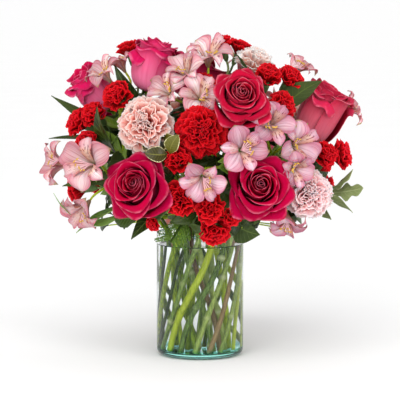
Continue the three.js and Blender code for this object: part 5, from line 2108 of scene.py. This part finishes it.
@dataclass
class Greenery:
    """The sprigs of greens."""

    rows: tuple[Sprig, ...]
    radius: float = 2.0
    woody: float = 1.45
    taper: float = 0.7
    seed: int = 900

    def build(self, shop: Workshop) -> None:
        """Builds and dresses each sprig's stem and leaves."""
        looks: dict[str, tuple[Finish, dict[str, float]]] = {
            "pittosporum_sprig": (EDGED_LEAF, {"wave": 0.12}),
            "ruscus_sprig_left": (DARK_LEAF, {}),
            "oak_leaf_sprig_right": (OAK_LEAF, {"wave": 0.1}),
            "ruscus_sprig_back": (DARK_LEAF, {}),
            "fern_frond": (FERN_LEAF, {}),
        }
        for index, row in enumerate(self.rows):
            stem = Stem(row.mouth, self.radius, [np.array(point, float) for point in row.route])
            finish, extra = looks[row.name]
            path = stem.path()
            woody = finish in (EDGED_LEAF, OAK_LEAF)
            thick = self.radius * (self.woody if woody else 1.0)
            thin = np.linspace(thick, self.radius * self.taper, len(path))
            skin = WOOD if woody else DARK_STALK
            shop.piece(f"{row.name}_stalk", tube(path, thin, 10, 0.3 * index % 1), skin, row.name)
            blades = Frond(stem.free(), row.pairs + 1).shell() if row.pairs else None
            if blades is None:
                leaves = grow(stem.free(), row.leaves, self.seed + 10 * index, **extra)
                for k, leaf in enumerate(FRONT_LEAVES if finish is EDGED_LEAF else ()):
                    base = np.array(FRONT_LEAF_BASE)
                    leaves.append(LeafBlade(base, leaf, k, faces=FRONT_LEAF_FACES).shell())
                blades = Shell.joined(leaves)
            shop.piece(f"{row.name}_leaves", blades, finish, row.name)


# --- The studio ---


@dataclass(frozen=True)
class Lamp:
    """A soft light: a square one of a size in metres, or a distant one of an angle."""

    name: str
    kind: str
    place: Point
    size: float
    power: float


LAMPS = (
    Lamp("key_light", "SUN", (-0.25, -1.5, 1.45), math.radians(54), 1.75),
    Lamp("front_light", "AREA", (-0.8, -2.0, 0.3), 0.9, 17),
    Lamp("fill_light", "AREA", (1.5, -1.5, 0.5), 0.9, 14),
)


@dataclass
class Studio:
    """A white sweep, soft light all round, a key light from the upper left and the camera."""

    eye: Point = (0.0, -2.400, 0.420)
    target: Point = (0.0, 0.0, 0.182)
    lens: float = 185.1
    sweep: float = 260.0
    sweep_below: float = 0.3
    sensor: float = 36.0
    sight: float = 400.0

    def aimed(self, name: str, data: Any, place: Point) -> bpy.types.Object:
        """A light or a camera at its place, which looks at the bouquet."""
        aimed = bpy.data.objects.new(name, data)
        aimed.location = place
        way = Vector(self.target) - Vector(place)
        aimed.rotation_euler = way.to_track_quat("-Z", "Y").to_euler()
        bpy.context.scene.collection.objects.link(aimed)
        return aimed

    def build(self, shop: Workshop) -> None:
        """Sets the world, the lights, the sweep and the camera."""
        scene = bpy.context.scene
        tent = Graph("white_tent", bpy.data.worlds)
        place = tent.add("TexCoord").outputs["Generated"]
        height = tent.add("SeparateXYZ", {0: place}).outputs[2]
        level = tent.add("MapRange", {0: height, 1: 0.2, 2: 0.5, 3: 1.05, 4: 0.6})
        glow = tent.add("Background", {"Color": "#ffffff", "Strength": level})
        tent.add("OutputWorld", {"Surface": glow})
        scene.world = tent.owner
        for lamp in LAMPS:
            light = bpy.data.lights.new(lamp.name, lamp.kind)
            setattr(light, "angle" if lamp.kind == "SUN" else "size", lamp.size)
            light.energy = lamp.power
            self.aimed(lamp.name, light, lamp.place)
        side, below = self.sweep / MILLIMETRE, -self.sweep_below
        corners = np.array([(-side, -side, below), (side, -side, below), (side, side, below),
                            (-side, side, below)], float)
        quad = np.array([[0, 1, 2, 3]])
        card = Shell(corners, quad, NO_CORNERS, np.zeros((4, 2)), np.zeros((4, 3)))
        shop.mesh_object("paper_sweep", card, WhiteCard("white_card"))
        camera = bpy.data.cameras.new("camera")
        camera.lens = self.lens
        camera.sensor_width = self.sensor
        camera.clip_end = self.sight
        scene.camera = self.aimed("camera", camera, self.eye)
        scene.view_settings.view_transform = "Standard"


def main() -> None:
    """Builds the bouquet in order, then notes how many triangles the dressed model has."""
    logging.basicConfig(level=logging.INFO, format="%(name)s %(message)s")
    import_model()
    shop = Workshop()
    Studio().build(shop)
    Vase().build(shop)
    Water().build(shop)
    SingleFlowers("rose", ROSES, 2.7, 100).build(shop)
    SingleFlowers("carnation", CARNATIONS, 2.3, 500).build(shop)
    BranchingFlowers("spray_carnation", SPRAYS, 2.1, SPRAY_CALYX, 2000).build(shop)
    BranchingFlowers("alstroemeria", LILIES, 2.5, LILY_FUNNEL, 4000).build(shop)
    Greenery(GREENS).build(shop)
    Filling().build(shop)
    LOG.info("bouquet: %d triangles", shop.counted)


if __name__ == "__main__":
    main()
